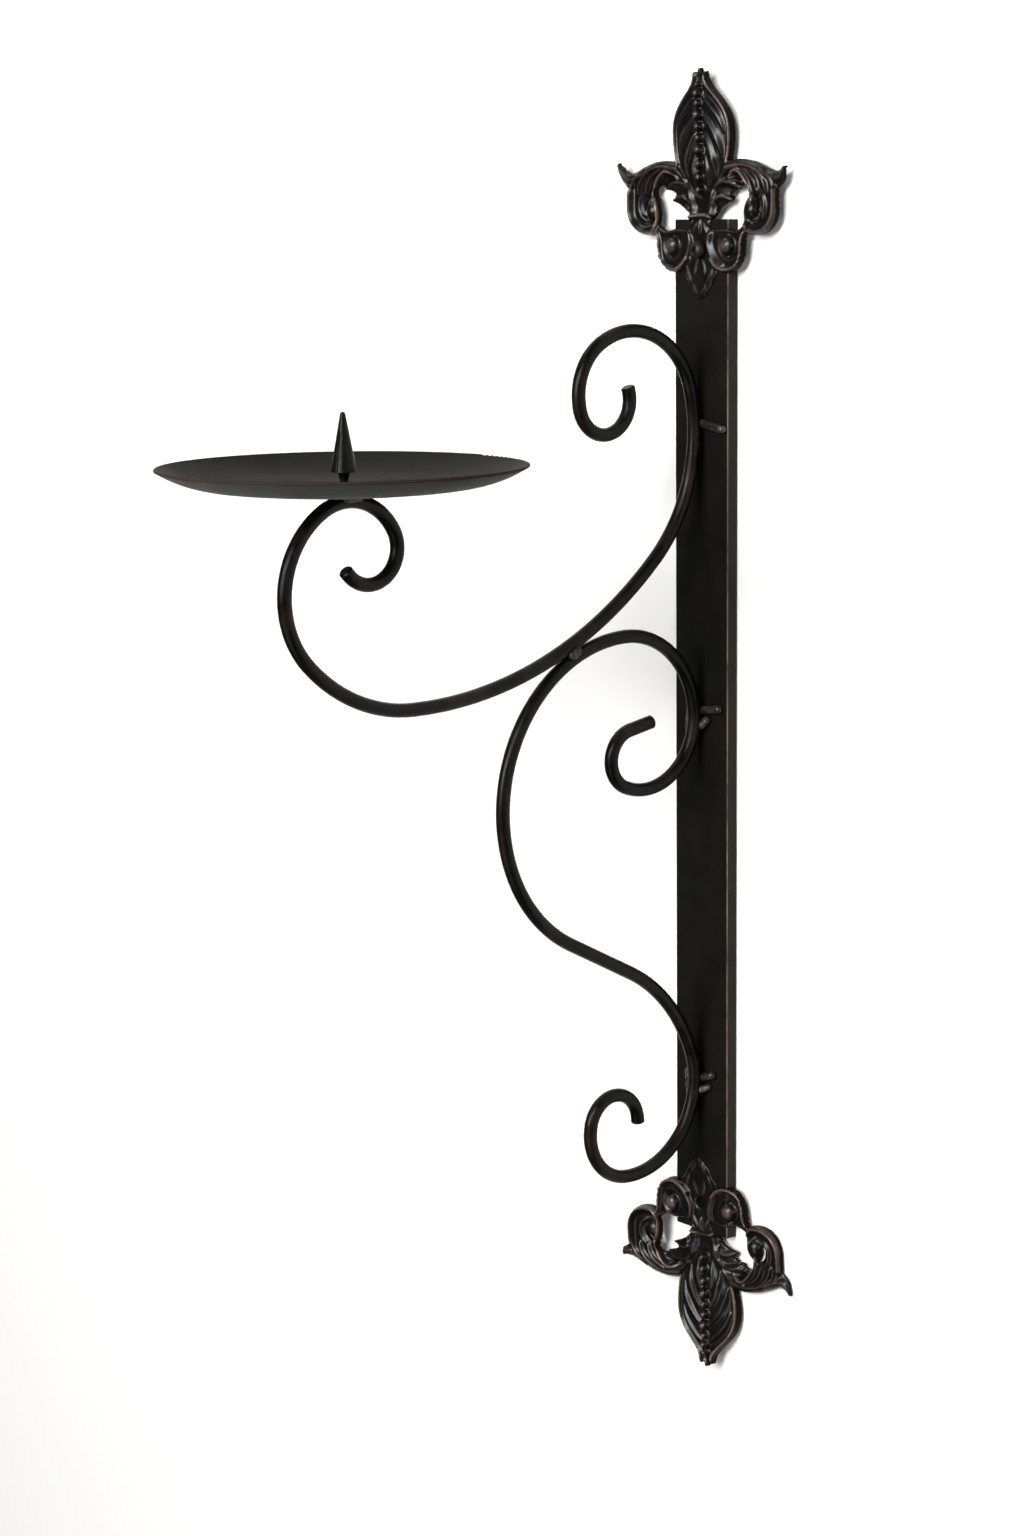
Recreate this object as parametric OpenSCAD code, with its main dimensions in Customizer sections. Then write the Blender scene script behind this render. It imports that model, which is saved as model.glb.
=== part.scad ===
// Wall candle holder in wrought iron: a flat back bar with a pressed lily at each end,
// two scrolls bent from round bar, and a dished pan with a hollow spike for the candle.
// X runs along the wall, -Y points into the room and Z is up. The origin lies on the
// wall, halfway between the two screw holes. Sizes are in millimetres, angles in degrees.

/* [Back bar] */
// Width of the flat bar
bar_w = 45; // [38:1:52]
// Thickness of the flat bar
bar_t = 7.5; // [6:0.5:10]
// Distance between the two wall screw holes
hole_pitch = 574; // [560:1:620]
// Length of the bar beyond each screw hole
bar_end = 17.5; // [15:0.5:20]
// Diameter of the wall screw holes in the bar
screw_hole_d = 6.5; // [4.5:0.5:7]
// Chamfer along the front edges of the bar
bar_edge = 0.8; // [0.4:0.1:1.5]

/* [Scrolls] */
// Diameter of the round bar
rod_d = 8; // [6:0.5:9]
// Gap between the scrolls and the face of the back bar
rod_gap = 1.5; // [0.5:0.25:3]
// Drop from the upper screw hole to where the upper scroll meets the back bar
touch_drop = 104; // [100:1:120]
// Chamfer round each sawn end of the round bar
end_chamfer = 0.8; // [0.4:0.1:1.5]

/* [Upper scroll, radii to the middle of the bar] */
// Radius of the bend that faces the back bar
shoulder_r = 99; // [92:1:104]
// Radius of the top curl above the shoulder
top_curl_r = 47; // [43:1:50]
// Radius where the top curl tightens
top_tight_r = 33.5; // [32:0.5:37]
// Radius of the long arm that runs down and out
arm_r = 252; // [236:2:256]
// Radius of the bend under the pan
belly_r = 100; // [95:1:105]
// Radius of the loop in front of the pan's middle
loop_r = 52.5; // [48:0.5:56]
// Radius at the crown of the loop, where the pan sits
crown_r = 34; // [31:0.5:36]
// Radius of the last bend of the upper scroll's two ends
eye_r = 19; // [17:0.5:21]
// Straight length at the end of the hook under the pan
hook_tail = 2.5; // [0:0.5:6]

/* [Lower scroll, radii to the middle of the bar] */
// Radius of the bend that faces the back bar at the middle weld
mid_r = 39.5; // [37:0.5:43]
// Radius of the last bend of the middle curl
mid_eye_r = 17.5; // [16:0.5:19]
// Straight length at the end of the middle curl
mid_tail = 17; // [8:1:20]
// Radius over the top of the middle curl
mid_top_r = 54.5; // [50:0.5:57]
// Radius of the wide bow below the pan arm
bow_r = 93.5; // [89:0.5:97]
// Radius of the bend that brings the bar back to the wall
return_r = 103; // [98:0.5:110]
// Radius of the bend that faces the back bar at the bottom weld
foot_r = 50.5; // [48:0.5:54]
// Radius where the bottom curl tightens
foot_tight_r = 30.5; // [28:0.5:33]
// Radius of the last bend of the bottom curl
foot_eye_r = 18.5; // [17:0.5:21]
// Straight length at the end of the bottom curl
foot_tail = 3; // [0:0.5:6]

/* [Pan] */
// Diameter of the pan over its rolled rim
pan_d = 200; // [180:1:220]
// Depth of the pan from the rim to the underside of its middle
pan_depth = 14.4; // [12:0.1:18]
// Diameter of the pan's shallow floor, inside its tighter side
floor_d = 142; // [120:1:150]
// Rise of the floor from its middle to the foot of the side
floor_rise = 3.9; // [2:0.1:5]
// Thickness of the pan's sheet
pan_sheet = 1.2; // [0.8:0.1:2]
// Diameter of the rolled rim
rim_d = 1.6; // [1.4:0.1:3]
// Distance from the crown of the loop out to the middle of the pan
pan_offset = 3.6; // [0:0.1:6]

/* [Candle spike] */
// Height of the hollow spike
spike_h = 31; // [24:1:45]
// Diameter of the spike's foot
spike_d = 14.2; // [11:0.2:18]
// Diameter of the spike's blunt point
point_d = 2.8; // [1:0.2:3]
// Thickness of the spike's rolled sheet
spike_sheet = 1; // [0.6:0.1:1.4]
// Width of the seam where the rolled sheet meets
seam_w = 0.5; // [0.3:0.1:1]
// Height of the spike's foot above the floor of the pan
spike_lift = 10.6; // [8:0.1:14]
// Distance of the spike from the middle of the pan, towards the wall
spike_off = 1; // [0:0.5:3]
// Diameter of the post at its waist
waist_d = 4.6; // [3.6:0.2:5.4]
// Diameter of the post where it goes into the spike
post_d = 7; // [6:0.2:8]
// Play round the post in the hole of the pan
post_play = 0.1; // [0.05:0.05:0.3]

/* [Lilies] */
// Thickness of the pressed sheet
lily_sheet = 1.6; // [1:0.1:2]
// Clearance between the turned-down edge and the wall
lily_clear = 3; // [1:0.5:5]
// Diameter of the screw hole through each lily
lily_hole_d = 7.5; // [7:0.25:9]
// Number of beads down the middle of the petal
bead_count = 10; // [6:1:12]
// Lean of the lower lily, as the maker set it
lower_lean = 4.5; // [0:0.5:6]

/* [Welds and pegs] */
// Diameter of the short pegs between scroll and back bar
peg_d = 5; // [4:0.5:6]
// Reach of the top peg from the middle of the bar
top_peg_reach = 20; // [14:1:21]
// Reach of the middle peg from the middle of the bar
mid_peg_reach = 17; // [12:1:21]
// Reach of the bottom peg from the middle of the bar
low_peg_reach = 12; // [10:1:18]
// Diameter of a weld bead
bead_d = 6; // [5:0.5:7]
// Length of the weld beads across the ends of the back bar
tack_w = 9; // [6:1:12]
// Length of the weld beads under the pan
pan_bead = 8; // [5:1:12]

/* [Hidden] */

$fn = 48;
iron = [0.16, 0.15, 0.14];
rubbed = [0.27, 0.21, 0.17];
weld_grey = [0.30, 0.28, 0.26];
pan_grey = [0.33, 0.32, 0.30];
eps = 0.01;

hole_z = hole_pitch / 2;
bar_top = hole_z + bar_end;
face_y = -bar_t;
rod_r = rod_d / 2;
rod_y = face_y - rod_gap - rod_r;
ring_w = 1;
ring_lift = 0.05;

// A place on a bar is [y, z, heading]: heading 0 runs towards the wall and 90 runs up.
// A step is [radius, turn], where a turn to the left is positive, or [length, 0].
function after_turn(p, r, turn) = [
    p[0] + sign(turn) * r * (sin(p[2] + turn) - sin(p[2])),
    p[1] - sign(turn) * r * (cos(p[2] + turn) - cos(p[2])),
    p[2] + turn];
function after_run(p, length) = [p[0] + length * cos(p[2]), p[1] + length * sin(p[2]), p[2]];
function after_step(p, s) = s[1] == 0 ? after_run(p, s[0]) : after_turn(p, s[0], s[1]);
function after_steps(p, steps, n) = n == 0 ? p : after_step(after_steps(p, steps, n - 1), steps[n - 1]);
function end_of(p, steps) = after_steps(p, steps, len(steps));
function turned_round(p) = [p[0], p[1], p[2] + 180];
// The centre of a bend that starts at p: side is 1 for a turn to the left and -1 to the right.
function bend_centre(p, r, side) = [p[0] - side * r * sin(p[2]), p[1] + side * r * cos(p[2])];

// Upper scroll: up from the shoulder into the top curl, and down the arm round to the hook.
touch_z = hole_z - touch_drop;
shoulder_up = 14;
shoulder_down = 46.5;
arm_turn = 44.8;
belly_turn = 45.2;
loop_turn = 103.6;
crown_turn = 270 - shoulder_down - arm_turn - belly_turn - loop_turn;
hook_turn = 62.1;
shoulder_top = after_turn([rod_y, touch_z, 90], shoulder_r, shoulder_up);
top_curl = [[top_curl_r, 105.9], [top_tight_r, 75], [eye_r, 186]];
arm_steps = [[shoulder_r, -shoulder_up - shoulder_down], [arm_r, -arm_turn], [belly_r, -belly_turn],
    [loop_r, -loop_turn], [crown_r, -crown_turn - hook_turn], [eye_r, -167], [hook_tail, 0]];
arm_start = after_steps(turned_round(shoulder_top), arm_steps, 1);
loop_start = after_steps(turned_round(shoulder_top), arm_steps, 3);
crown_start = after_steps(turned_round(shoulder_top), arm_steps, 4);
crown = after_turn(crown_start, crown_r, -crown_turn);

// Lower scroll: its height comes from the wide bow, which lies against the long arm.
mid_up = 8.1;
mid_down = 113.6;
mid_top_turn = 82.3;
return_turn = 43.1;
foot_up = 18.9;
foot_down = 98.1;
bow_turn = 180 - mid_up - mid_top_turn + return_turn + foot_up;
arm_centre = bend_centre(arm_start, arm_r, -1);
flat_top = after_turn([rod_y, 0, 90], mid_r, mid_up);
flat_bow = bend_centre(after_turn(flat_top, mid_top_r, mid_top_turn), bow_r, 1);
centre_gap = arm_r + bow_r + rod_d;
mid_z = arm_centre[1] - sqrt(pow(centre_gap, 2) - pow(arm_centre[0] - flat_bow[0], 2)) - flat_bow[1];
mid_top = [flat_top[0], flat_top[1] + mid_z, flat_top[2]];
mid_curl = [[mid_r, -mid_up - mid_down], [mid_eye_r, -146], [mid_tail, 0]];
bow_start = after_turn(mid_top, mid_top_r, mid_top_turn);
bow_centre = bend_centre(bow_start, bow_r, 1);
bow_end = after_turn(bow_start, bow_r, bow_turn);
back_reach = end_of([0, 0, bow_end[2]], [[return_r, -return_turn], [foot_r, -foot_up]]);
// The straight run is as long as it takes to bring the bar back to the face of the back bar.
return_run = (rod_y - bow_end[0] - back_reach[0]) / cos(bow_end[2]);
bow_steps = [[mid_top_r, mid_top_turn], [bow_r, bow_turn], [return_run, 0], [return_r, -return_turn],
    [foot_r, -foot_up - foot_down], [foot_tight_r, -95], [foot_eye_r, -161], [foot_tail, 0]];
foot = after_turn(after_steps(mid_top, bow_steps, 4), foot_r, -foot_up);

// Pan and spike stand on the crown of the loop.
pan_r = (pan_d - rim_d) / 2;
pan_y = crown[0] - pan_offset;
pan_z = crown[1] + rod_r;
spike_y = pan_y + spike_off;

// The pan's section, along the middle of its sheet: a shallow floor and a tighter side.
floor_half = floor_d / 2;
floor_bend = (pow(floor_half, 2) + pow(floor_rise, 2)) / (2 * floor_rise);
floor_turn = asin(floor_half / floor_bend);
side_run = [pan_r - floor_half, pan_depth - pan_sheet / 2 - floor_rise];
side_bend = side_run * side_run / (2 * side_run * [-sin(floor_turn), cos(floor_turn)]);
side_mid = [floor_half, pan_sheet / 2 + floor_rise] + side_bend * [-sin(floor_turn), cos(floor_turn)];
side_end = atan2(pan_r - side_mid[0], side_mid[1] - pan_depth);
floor_z = pan_z + pan_sheet;
spike_z = floor_z + spike_lift;
spike_slope = (spike_d - point_d) / 2 / spike_h;
hollow_d = spike_d - 2 * spike_sheet;
hollow_h = spike_h - 3;
seam_at = 205;

// Where the arm and the bow touch, and the way that they run there.
lean = atan2(bow_centre[1] - arm_centre[1], bow_centre[0] - arm_centre[0]);
kiss = [arm_centre[0] + (arm_r + rod_r) * cos(lean), arm_centre[1] + (arm_r + rod_r) * sin(lean)];

// Pegs: [height, reach, tilt].
top_peg_at = [touch_z + 5, top_peg_reach, -9];
mid_peg_at = [mid_z + 3, mid_peg_reach, 7];
low_peg_at = [foot[1] - 1, low_peg_reach, 20];
peg_flat = 0.5;
peg_y = face_y - peg_d / 2 + peg_flat;

// Levels of the lily, measured out from the wall.
skin = bar_t + lily_sheet;
leaf_skin = skin - 1;
dome_top = skin + 0.8;

// A curve through given points, with n short steps between one point and the next.
function blend(a, b, c, d, t) = 0.5 * (2 * b + (c - a) * t + (2 * a - 5 * b + 4 * c - d) * t * t
    + (3 * b - a - 3 * c + d) * t * t * t);
function open_curve(p, n) = concat([for (i = [0:len(p) - 2], k = [0:n - 1])
    blend(p[max(i - 1, 0)], p[i], p[i + 1], p[min(i + 2, len(p) - 1)], k / n)], [p[len(p) - 1]]);

// Half of the lily, as [across, up] from the screw hole. The other half mirrors it.
petal_side = [[20.5, 48], [22.7, 58], [22.2, 73], [15.7, 85], [7.2, 93], [5, 97], [5.4, 100.6]];
petal_tip = [[5.4, 100.6], [2.6, 99.8], [0, 103]];
leaf_top = [[19.5, 49.5], [34, 51.3], [50, 46.5], [58, 43.6], [64, 44.4], [69.6, 48.6]];
leaf_tip = [[69.6, 48.6], [67.6, 42.6], [60.6, 36.2]];
leaf_roll = [[60.6, 36.2], [61.6, 27], [57.2, 14.6], [46, 9.8], [38.6, 12.8], [36.4, 20], [39, 27.6], [43.4, 31.4]];
leaf_inside = [[43.4, 31.4], [41.4, 36.6], [37.6, 40.4], [32.6, 41.6]];
leaflets = [[32.6, 41.6], [26.4, 39.6], [32, 37], [25, 34.6], [22.4, 30.4], [29, 27.6], [17, 24.6],
    [10.5, 19.5]];
lobe_out = [[38.6, 13], [34.6, 5], [31.4, -5], [26, -10.6], [19, -12.4], [12, -11], [8.6, -9]];
lobe_in = [[8.6, 6], [14, 10.4], [21, 12], [28, 10.6], [31.6, 11.4], [35.6, 15.6]];
tongue = [[15.2, -9], [14.6, -13], [11, -16.4], [9.6, -20.6], [6, -23.6], [4, -26.4], [0, -28]];

// Raised lines: each is a curve, its half widths at start and end, and how high it stands.
leaf_lines = [
    [[[20.6, 47], [35, 48.8], [49, 44], [57.4, 37.6], [59, 27], [55, 16.6], [46, 12.2], [39.6, 15]], 2.2, 1.7, 1.5],
    [[[12, 22.6], [16.4, 36], [25, 42.6], [34, 43], [40, 38], [43, 32]], 1.8, 2, 1.6],
    [[[32.4, 45.8], [42, 41.4], [48, 34], [48.6, 30]], 1.1, 1.5, 1],
    [[[46, 42.6], [52, 36.6], [54, 28], [51, 19], [44, 16]], 1.4, 1, 0.8],
    [[[13, 22], [19, 26.6], [27.6, 27.8]], 1.5, 0.6, 0.7],
    [[[16.2, 29.4], [21.4, 33.8], [30.2, 37.2]], 1.4, 0.6, 0.7]];
lobe_lines = [
    [[[37, 12.4], [33, 2], [27.4, -6.8], [19, -10.2], [10.8, -7.4], [6.6, -1], [7.4, 5.6]], 1.9, 1.6, 1.6],
    [[[13.4, 7], [13, 0.6], [17.4, -3.8], [24, -3.8]], 1.1, 0.8, 0.6]];
petal_lines = [
    [[[4.6, 88.6], [12.8, 80.6], [18.6, 69.6], [19.6, 57], [18, 49]], 1.4, 1.7, 0.6],
    [[[4, 78.6], [10.8, 72.4], [14.8, 62], [14, 49]], 1.3, 1.8, 1.3],
    [[[3.6, 68.6], [8.2, 62.4], [10.6, 53], [9.6, 43]], 1.2, 1.6, 1.5],
    [[[3, 59], [5.4, 54], [6.4, 48], [6, 41]], 0.8, 1.2, 1.4]];
collar_line = [[[-11, 18.4], [-6, 20.5], [0, 21], [6, 20.5], [11, 18.4]], 1.7, 1.7, 1.8];
plate_lines = [
    [[[3, 13], [6.6, 12], [9, 14.4]], 1.3, 0.9, 0.6],
    [[[2.6, -12], [5.6, -17], [5, -22]], 1.1, 0.6, 0.5],
    [[[6.4, -11], [10.4, -13], [10.6, -16]], 1.1, 0.6, 0.5]];
eye = [44.6, 22.4];
eye_half = 7.2;
lobe_ball = [22.6, 4];
ball_half = 5.6;
bead_low = 34.7;
bead_high = 93.4;

// Drawing plane of the scrolls: first axis to Y, second axis to Z.
module side_plane() {
    rotate([90, 0, 90]) children();
}

module bent_piece(p, r, turn, trim = 0) {
    c = bend_centre(p, r, sign(turn));
    spare = trim / r * 180 / PI;
    start = (turn > 0 ? p[2] - 90 : p[2] + 90 + turn) + spare;
    translate([c[0], c[1], 0]) rotate(start)
        rotate_extrude(angle = abs(turn) - 2 * spare, $fn = max(48, ceil(r) * 2)) translate([r, 0])
            circle(d = rod_d, $fn = 32);
}

module straight_piece(p, length, trim = 0) {
    q = after_run(p, trim);
    translate([q[0], q[1], 0]) rotate(p[2]) rotate([0, 90, 0]) cylinder(h = length - 2 * trim, d = rod_d);
}

// A ring, a hair thicker than the bar, in which two bends meet, so that they join as one bar.
module joint_ring(p) {
    translate([p[0], p[1], 0]) rotate(p[2]) rotate([0, 90, 0])
        cylinder(h = ring_w, d = rod_d + 2 * ring_lift, center = true);
}

// The sawn end of a bar, with its arris taken off.
module sawn_end(p) {
    r = rod_r + ring_lift;
    translate([p[0], p[1], 0]) rotate(p[2]) rotate([0, 90, 0]) rotate_extrude()
        polygon([[0, -ring_w / 2], [r, -ring_w / 2], [r, 0], [r - end_chamfer, end_chamfer],
            [0, end_chamfer]]);
}

module round_bar(start, steps) {
    for (i = [0:len(steps) - 1]) {
        p = after_steps(start, steps, i);
        if (steps[i][1] == 0)
            straight_piece(p, steps[i][0], ring_w / 10);
        else
            bent_piece(p, steps[i][0], steps[i][1], ring_w / 10);
        joint_ring(p);
    }
    sawn_end(end_of(start, steps));
}

module back_bar() {
    half = bar_w / 2;
    color(iron) difference() {
        translate([0, 0, -bar_top]) linear_extrude(2 * bar_top)
            polygon([[-half, 0], [half, 0], [half, face_y + bar_edge], [half - bar_edge, face_y],
                [bar_edge - half, face_y], [-half, face_y + bar_edge]]);
        for (z = [-hole_z, hole_z])
            translate([0, eps, z]) rotate([90, 0, 0]) cylinder(h = bar_t + 2 * eps, d = screw_hole_d);
    }
}

module upper_scroll() {
    color(iron) side_plane() {
        round_bar(shoulder_top, top_curl);
        round_bar(turned_round(shoulder_top), arm_steps);
    }
}

module lower_scroll() {
    color(iron) side_plane() {
        round_bar(mid_top, bow_steps);
        round_bar(turned_round(mid_top), mid_curl);
    }
}

// The round bar just above and below a place where it passes the back bar.
module bar_at_face(z, r) {
    side_plane() bent_piece(turned_round(after_turn([rod_y, z, -90], r, -30)), r, 60);
}

module face_block() {
    translate([-bar_w / 2, face_y, -bar_top]) cube([bar_w, bar_t, 2 * bar_top]);
}

module peg(at) {
    translate([0, peg_y, at[0]]) rotate([0, -at[2], 0]) {
        rotate([0, 90, 0]) cylinder(h = at[1], d = peg_d);
        translate([at[1], 0, 0]) sphere(d = peg_d);
    }
}

module top_peg() {
    color(weld_grey) difference() {
        peg(top_peg_at);
        bar_at_face(touch_z, shoulder_r);
        face_block();
    }
}

module middle_peg() {
    color(weld_grey) difference() {
        peg(mid_peg_at);
        bar_at_face(mid_z, mid_r);
        face_block();
    }
}

module bottom_peg() {
    color(weld_grey) difference() {
        peg(low_peg_at);
        bar_at_face(foot[1], foot_r);
        face_block();
    }
}

// A row of weld beads from one point to another, a third of a bead apart.
module weld_row(from, to, d) {
    count = max(1, round(norm(to - from) / (d / 3)));
    for (i = [0:count])
        translate(from + (to - from) * i / count) sphere(d = d);
}

module middle_welds() {
    side = rod_r + 0.5;
    color(weld_grey) difference() {
        union() {
            weld_row([-side, rod_y + 1, mid_z - 8], [-side, rod_y + 1.5, mid_z + 2], bead_d);
            weld_row([rod_r, rod_y + 2, mid_z - 6], [rod_r + 3, face_y - 1.5, mid_z - 2], bead_d * 0.8);
        }
        bar_at_face(mid_z, mid_r);
        face_block();
        peg(mid_peg_at);
    }
}

module bottom_welds() {
    side = rod_r + 0.5;
    color(weld_grey) difference() {
        union() {
            weld_row([-side, rod_y + 1, foot[1] - 9], [-side, rod_y, foot[1] + 3], bead_d);
            weld_row([rod_r, rod_y + 2, foot[1] - 7], [rod_r + 4, face_y - 1.5, foot[1] - 5], bead_d * 0.8);
        }
        bar_at_face(foot[1], foot_r);
        face_block();
        peg(low_peg_at);
    }
}

// One bead in the groove on each side of the place where the two scrolls touch.
module scroll_welds() {
    along = [0, -sin(lean), cos(lean)] * bead_d / 3;
    color(weld_grey) for (s = [-1, 1]) difference() {
        difference() {
            weld_row([s * rod_r * 0.85, kiss[0], kiss[1]] - along,
                [s * rod_r * 0.85, kiss[0], kiss[1]] + along, bead_d);
            side_plane() bent_piece(arm_start, arm_r, -arm_turn);
        }
        side_plane() bent_piece(bow_start, bow_r, bow_turn);
    }
}

// The top of the loop, under the pan.
module loop_top() {
    side_plane() {
        bent_piece(loop_start, loop_r, -loop_turn, ring_w / 10);
        joint_ring(crown_start);
        bent_piece(crown_start, crown_r, -crown_turn - hook_turn, ring_w / 10);
    }
}

// One straight bead under the pan on each side of the loop's crown.
module pan_welds() {
    bead = bead_d * 0.85;
    color(weld_grey) for (s = [-1, 1]) difference() {
        difference() {
            translate([s * rod_r, crown[0] - pan_bead / 2, pan_z - 2]) rotate([-90, 0, 0]) {
                cylinder(h = pan_bead, d = bead);
                sphere(d = bead);
                translate([0, 0, pan_bead]) sphere(d = bead);
            }
            translate([s * bead * 2 - bead * 1.8, crown[0] - bead * 2, pan_z]) cube(bead * 4);
        }
        side_plane() bent_piece(crown_start, crown_r, -crown_turn - hook_turn);
    }
}

// The pan's section on one side of the middle of its sheet.
function floor_line(away, n) = [for (i = [0:n - 1]) [0, pan_sheet / 2 + floor_bend]
    + (floor_bend + away) * [sin(floor_turn * i / n), -cos(floor_turn * i / n)]];
function side_line(away, n) = [for (i = [0:n]) let (t = floor_turn + (side_end - floor_turn) * i / n)
    side_mid + (side_bend + away) * [sin(t), -cos(t)]];
function section_line(away) = concat(floor_line(away, 8), side_line(away, 12));
function reversed(list) = [for (i = [len(list) - 1:-1:0]) list[i]];

module drip_pan() {
    color(pan_grey) translate([0, pan_y, 0]) difference() {
        union() {
            translate([0, 0, pan_z]) rotate_extrude($fn = 120)
                polygon(concat(section_line(pan_sheet / 2), reversed(section_line(-pan_sheet / 2))));
            translate([0, 0, pan_z + pan_depth]) rotate_extrude($fn = 120) translate([pan_r, 0])
                circle(d = rim_d, $fn = 24);
        }
        translate([0, spike_off, pan_z - 1]) cylinder(h = pan_sheet + 2, d = waist_d + 2 * post_play);
    }
}

// The spike is sheet rolled into a cone, open along a seam on the side away from the scroll.
module candle_spike() {
    color(rubbed) translate([0, spike_y, spike_z]) difference() {
        rotate_extrude() polygon([[hollow_d / 2, 0], [spike_d / 2, 0], [point_d / 2, spike_h],
            [point_d / 4, spike_h + point_d / 4], [0, spike_h + point_d / 3], [0, hollow_h],
            [hollow_d / 2 - hollow_h * spike_slope, hollow_h]]);
        rotate(seam_at) translate([-seam_w / 2, 0, -1]) cube([seam_w, spike_d, hollow_h * 0.8]);
    }
}

// The post stands on the loop, passes through the pan and carries the spike by its slope.
module spike_post() {
    seat_h = (hollow_d - post_d) / 2 / spike_slope;
    color(iron) difference() {
        translate([0, spike_y, 0]) rotate_extrude() polygon([[0, pan_z - rod_r], [waist_d / 2, pan_z - rod_r],
            [waist_d / 2, spike_z - 4], [post_d / 2, spike_z], [post_d / 2, spike_z + seat_h],
            [post_d / 4, spike_z + seat_h + post_d / 4 / spike_slope],
            [0, spike_z + seat_h + post_d / 4 / spike_slope]]);
        loop_top();
    }
}

// The lily is drawn flat, with its height out from the wall as the third size.
module both_sides() {
    children();
    mirror([1, 0, 0]) children();
}

module petal_shape(n = 3) {
    both_sides() polygon(concat([[0, 38]], open_curve(petal_side, n), petal_tip));
}

module leaf_shape(n = 3) {
    polygon(concat([[0, 20], [0, 50]], open_curve(leaf_top, n), open_curve(leaf_tip, n),
        open_curve(leaf_roll, n), open_curve(leaf_inside, 2), leaflets));
}

module plate_shape(n = 3) {
    polygon(concat([[0, 20.8], [10.5, 20.8]], open_curve(lobe_in, 2), open_curve(lobe_out, n), [[0, -9]]));
    polygon(concat([[0, -8]], tongue));
}

// A rounded line that runs along a curve: its feet are sunk and its crest stands at a height.
module raised_line(line, level) {
    path = open_curve(line[0], 2);
    last = len(path) - 1;
    halves = [for (i = [0:last]) line[1] + (line[2] - line[1]) * i / last];
    ways = [for (i = [0:last]) path[min(i + 1, last)] - path[max(i - 1, 0)]];
    across = [for (w = ways) [-w[1], w[0]] / norm(w)];
    // Shares of the half width and of the rise at the five corners of the section.
    section = [[1, 0], [0.8, 0.55], [0, 1], [-0.8, 0.55], [-1, 0]];
    foot_level = leaf_skin - 1.4;
    points = [for (i = [0:last], c = section)
        let (top = level + line[3] * (i == 0 || i == last ? 0.1 : 1))
        [path[i][0] + across[i][0] * halves[i] * c[0], path[i][1] + across[i][1] * halves[i] * c[0],
            c[1] == 0 ? foot_level : top - line[3] * (1 - c[1])]];
    sides = [for (i = [0:last - 1], k = [0:4])
        [i * 5 + k, i * 5 + 5 + k, i * 5 + 5 + (k + 1) % 5, i * 5 + (k + 1) % 5]];
    polyhedron(points, concat([[0, 1, 2, 3, 4]], sides, [[for (k = [4:-1:0]) last * 5 + k]]));
}

// A bead is as wide as its place on the petal lets it be.
module petal_bead(z) {
    wide = z < 88 ? 1.1 : 0.6;
    hull() for (x = [-wide, wide])
        translate([x, z, dome_top - 1.1]) scale([1, 1.15, 1.25]) sphere(1.9, $fn = 8);
}

// The rounded crown of the petal over its flat edge, in three steps.
module petal_crown(inset, lift) {
    for (step = [[1.6, 0.2, 4, 1.1], [4, 1.1, 8, dome_top - leaf_skin]]) hull() {
        translate([0, 0, leaf_skin + lift - 1]) linear_extrude(1 + step[1])
            offset(delta = -step[0] - inset) petal_shape(2);
        translate([0, 0, leaf_skin + lift]) linear_extrude(step[3])
            offset(delta = -step[2] - inset) intersection() {
                petal_shape(2);
                translate([-40, 36]) square([80, 55]);
            }
    }
}

module lily_front() {
    translate([0, 0, lily_clear]) linear_extrude(leaf_skin - lily_clear) {
        petal_shape();
        both_sides() leaf_shape();
    }
    translate([0, 0, lily_clear]) linear_extrude(skin - lily_clear) both_sides() plate_shape();
    petal_crown(0, 0);
    both_sides() {
        for (line = leaf_lines) raised_line(line, leaf_skin);
        for (line = lobe_lines) raised_line(line, skin);
        for (line = petal_lines) raised_line(line, dome_top - 0.8);
        for (line = plate_lines) raised_line(line, skin);
        translate([eye[0], eye[1], leaf_skin - 0.5]) scale([1, 1, 0.42]) sphere(eye_half, $fn = 16);
        translate([lobe_ball[0], lobe_ball[1], skin - 0.5]) scale([1, 1, 0.42]) sphere(ball_half, $fn = 12);
    }
    raised_line(collar_line, skin);
    for (i = [0:bead_count - 1]) petal_bead(bead_low + (bead_high - bead_low) * i / (bead_count - 1));
}

module lily_hollow() {
    translate([0, 0, -1]) linear_extrude(leaf_skin - lily_sheet + 1) offset(delta = -lily_sheet) {
        petal_shape(2);
        both_sides() leaf_shape(2);
    }
    translate([0, 0, -1]) linear_extrude(bar_t + 1) offset(delta = -lily_sheet) both_sides() plate_shape(2);
    translate([lily_sheet - 10.5, 12, -1]) cube([21 - 2 * lily_sheet, 14, leaf_skin - lily_sheet + 1]);
}

module lily() {
    color(rubbed) difference() {
        lily_front();
        lily_hollow();
        cylinder(h = 30, d = lily_hole_d, $fn = 32);
    }
}

module top_lily() {
    difference() {
        translate([0, 0, hole_z]) rotate([90, 0, 0]) lily();
        face_block();
    }
}

module bottom_lily() {
    difference() {
        translate([0, 0, -hole_z]) rotate([0, 180 - lower_lean, 0]) rotate([90, 0, 0]) lily();
        face_block();
    }
}

// A bead across each end of the back bar, in the hollow of the lily, holds the two together.
module lily_tacks() {
    reach = leaf_skin - lily_sheet;
    color(weld_grey) for (s = [-1, 1]) difference() {
        translate([-tack_w / 2, 1.4 - reach, s * (bar_top + 1.2)]) rotate([0, 90, 0]) {
            cylinder(h = tack_w, d = 4);
            sphere(d = 4);
            translate([0, 0, tack_w]) sphere(d = 4);
        }
        face_block();
        translate([-tack_w, -reach - 10, s * bar_top - 10]) cube([2 * tack_w, 10, 20]);
    }
}

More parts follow.
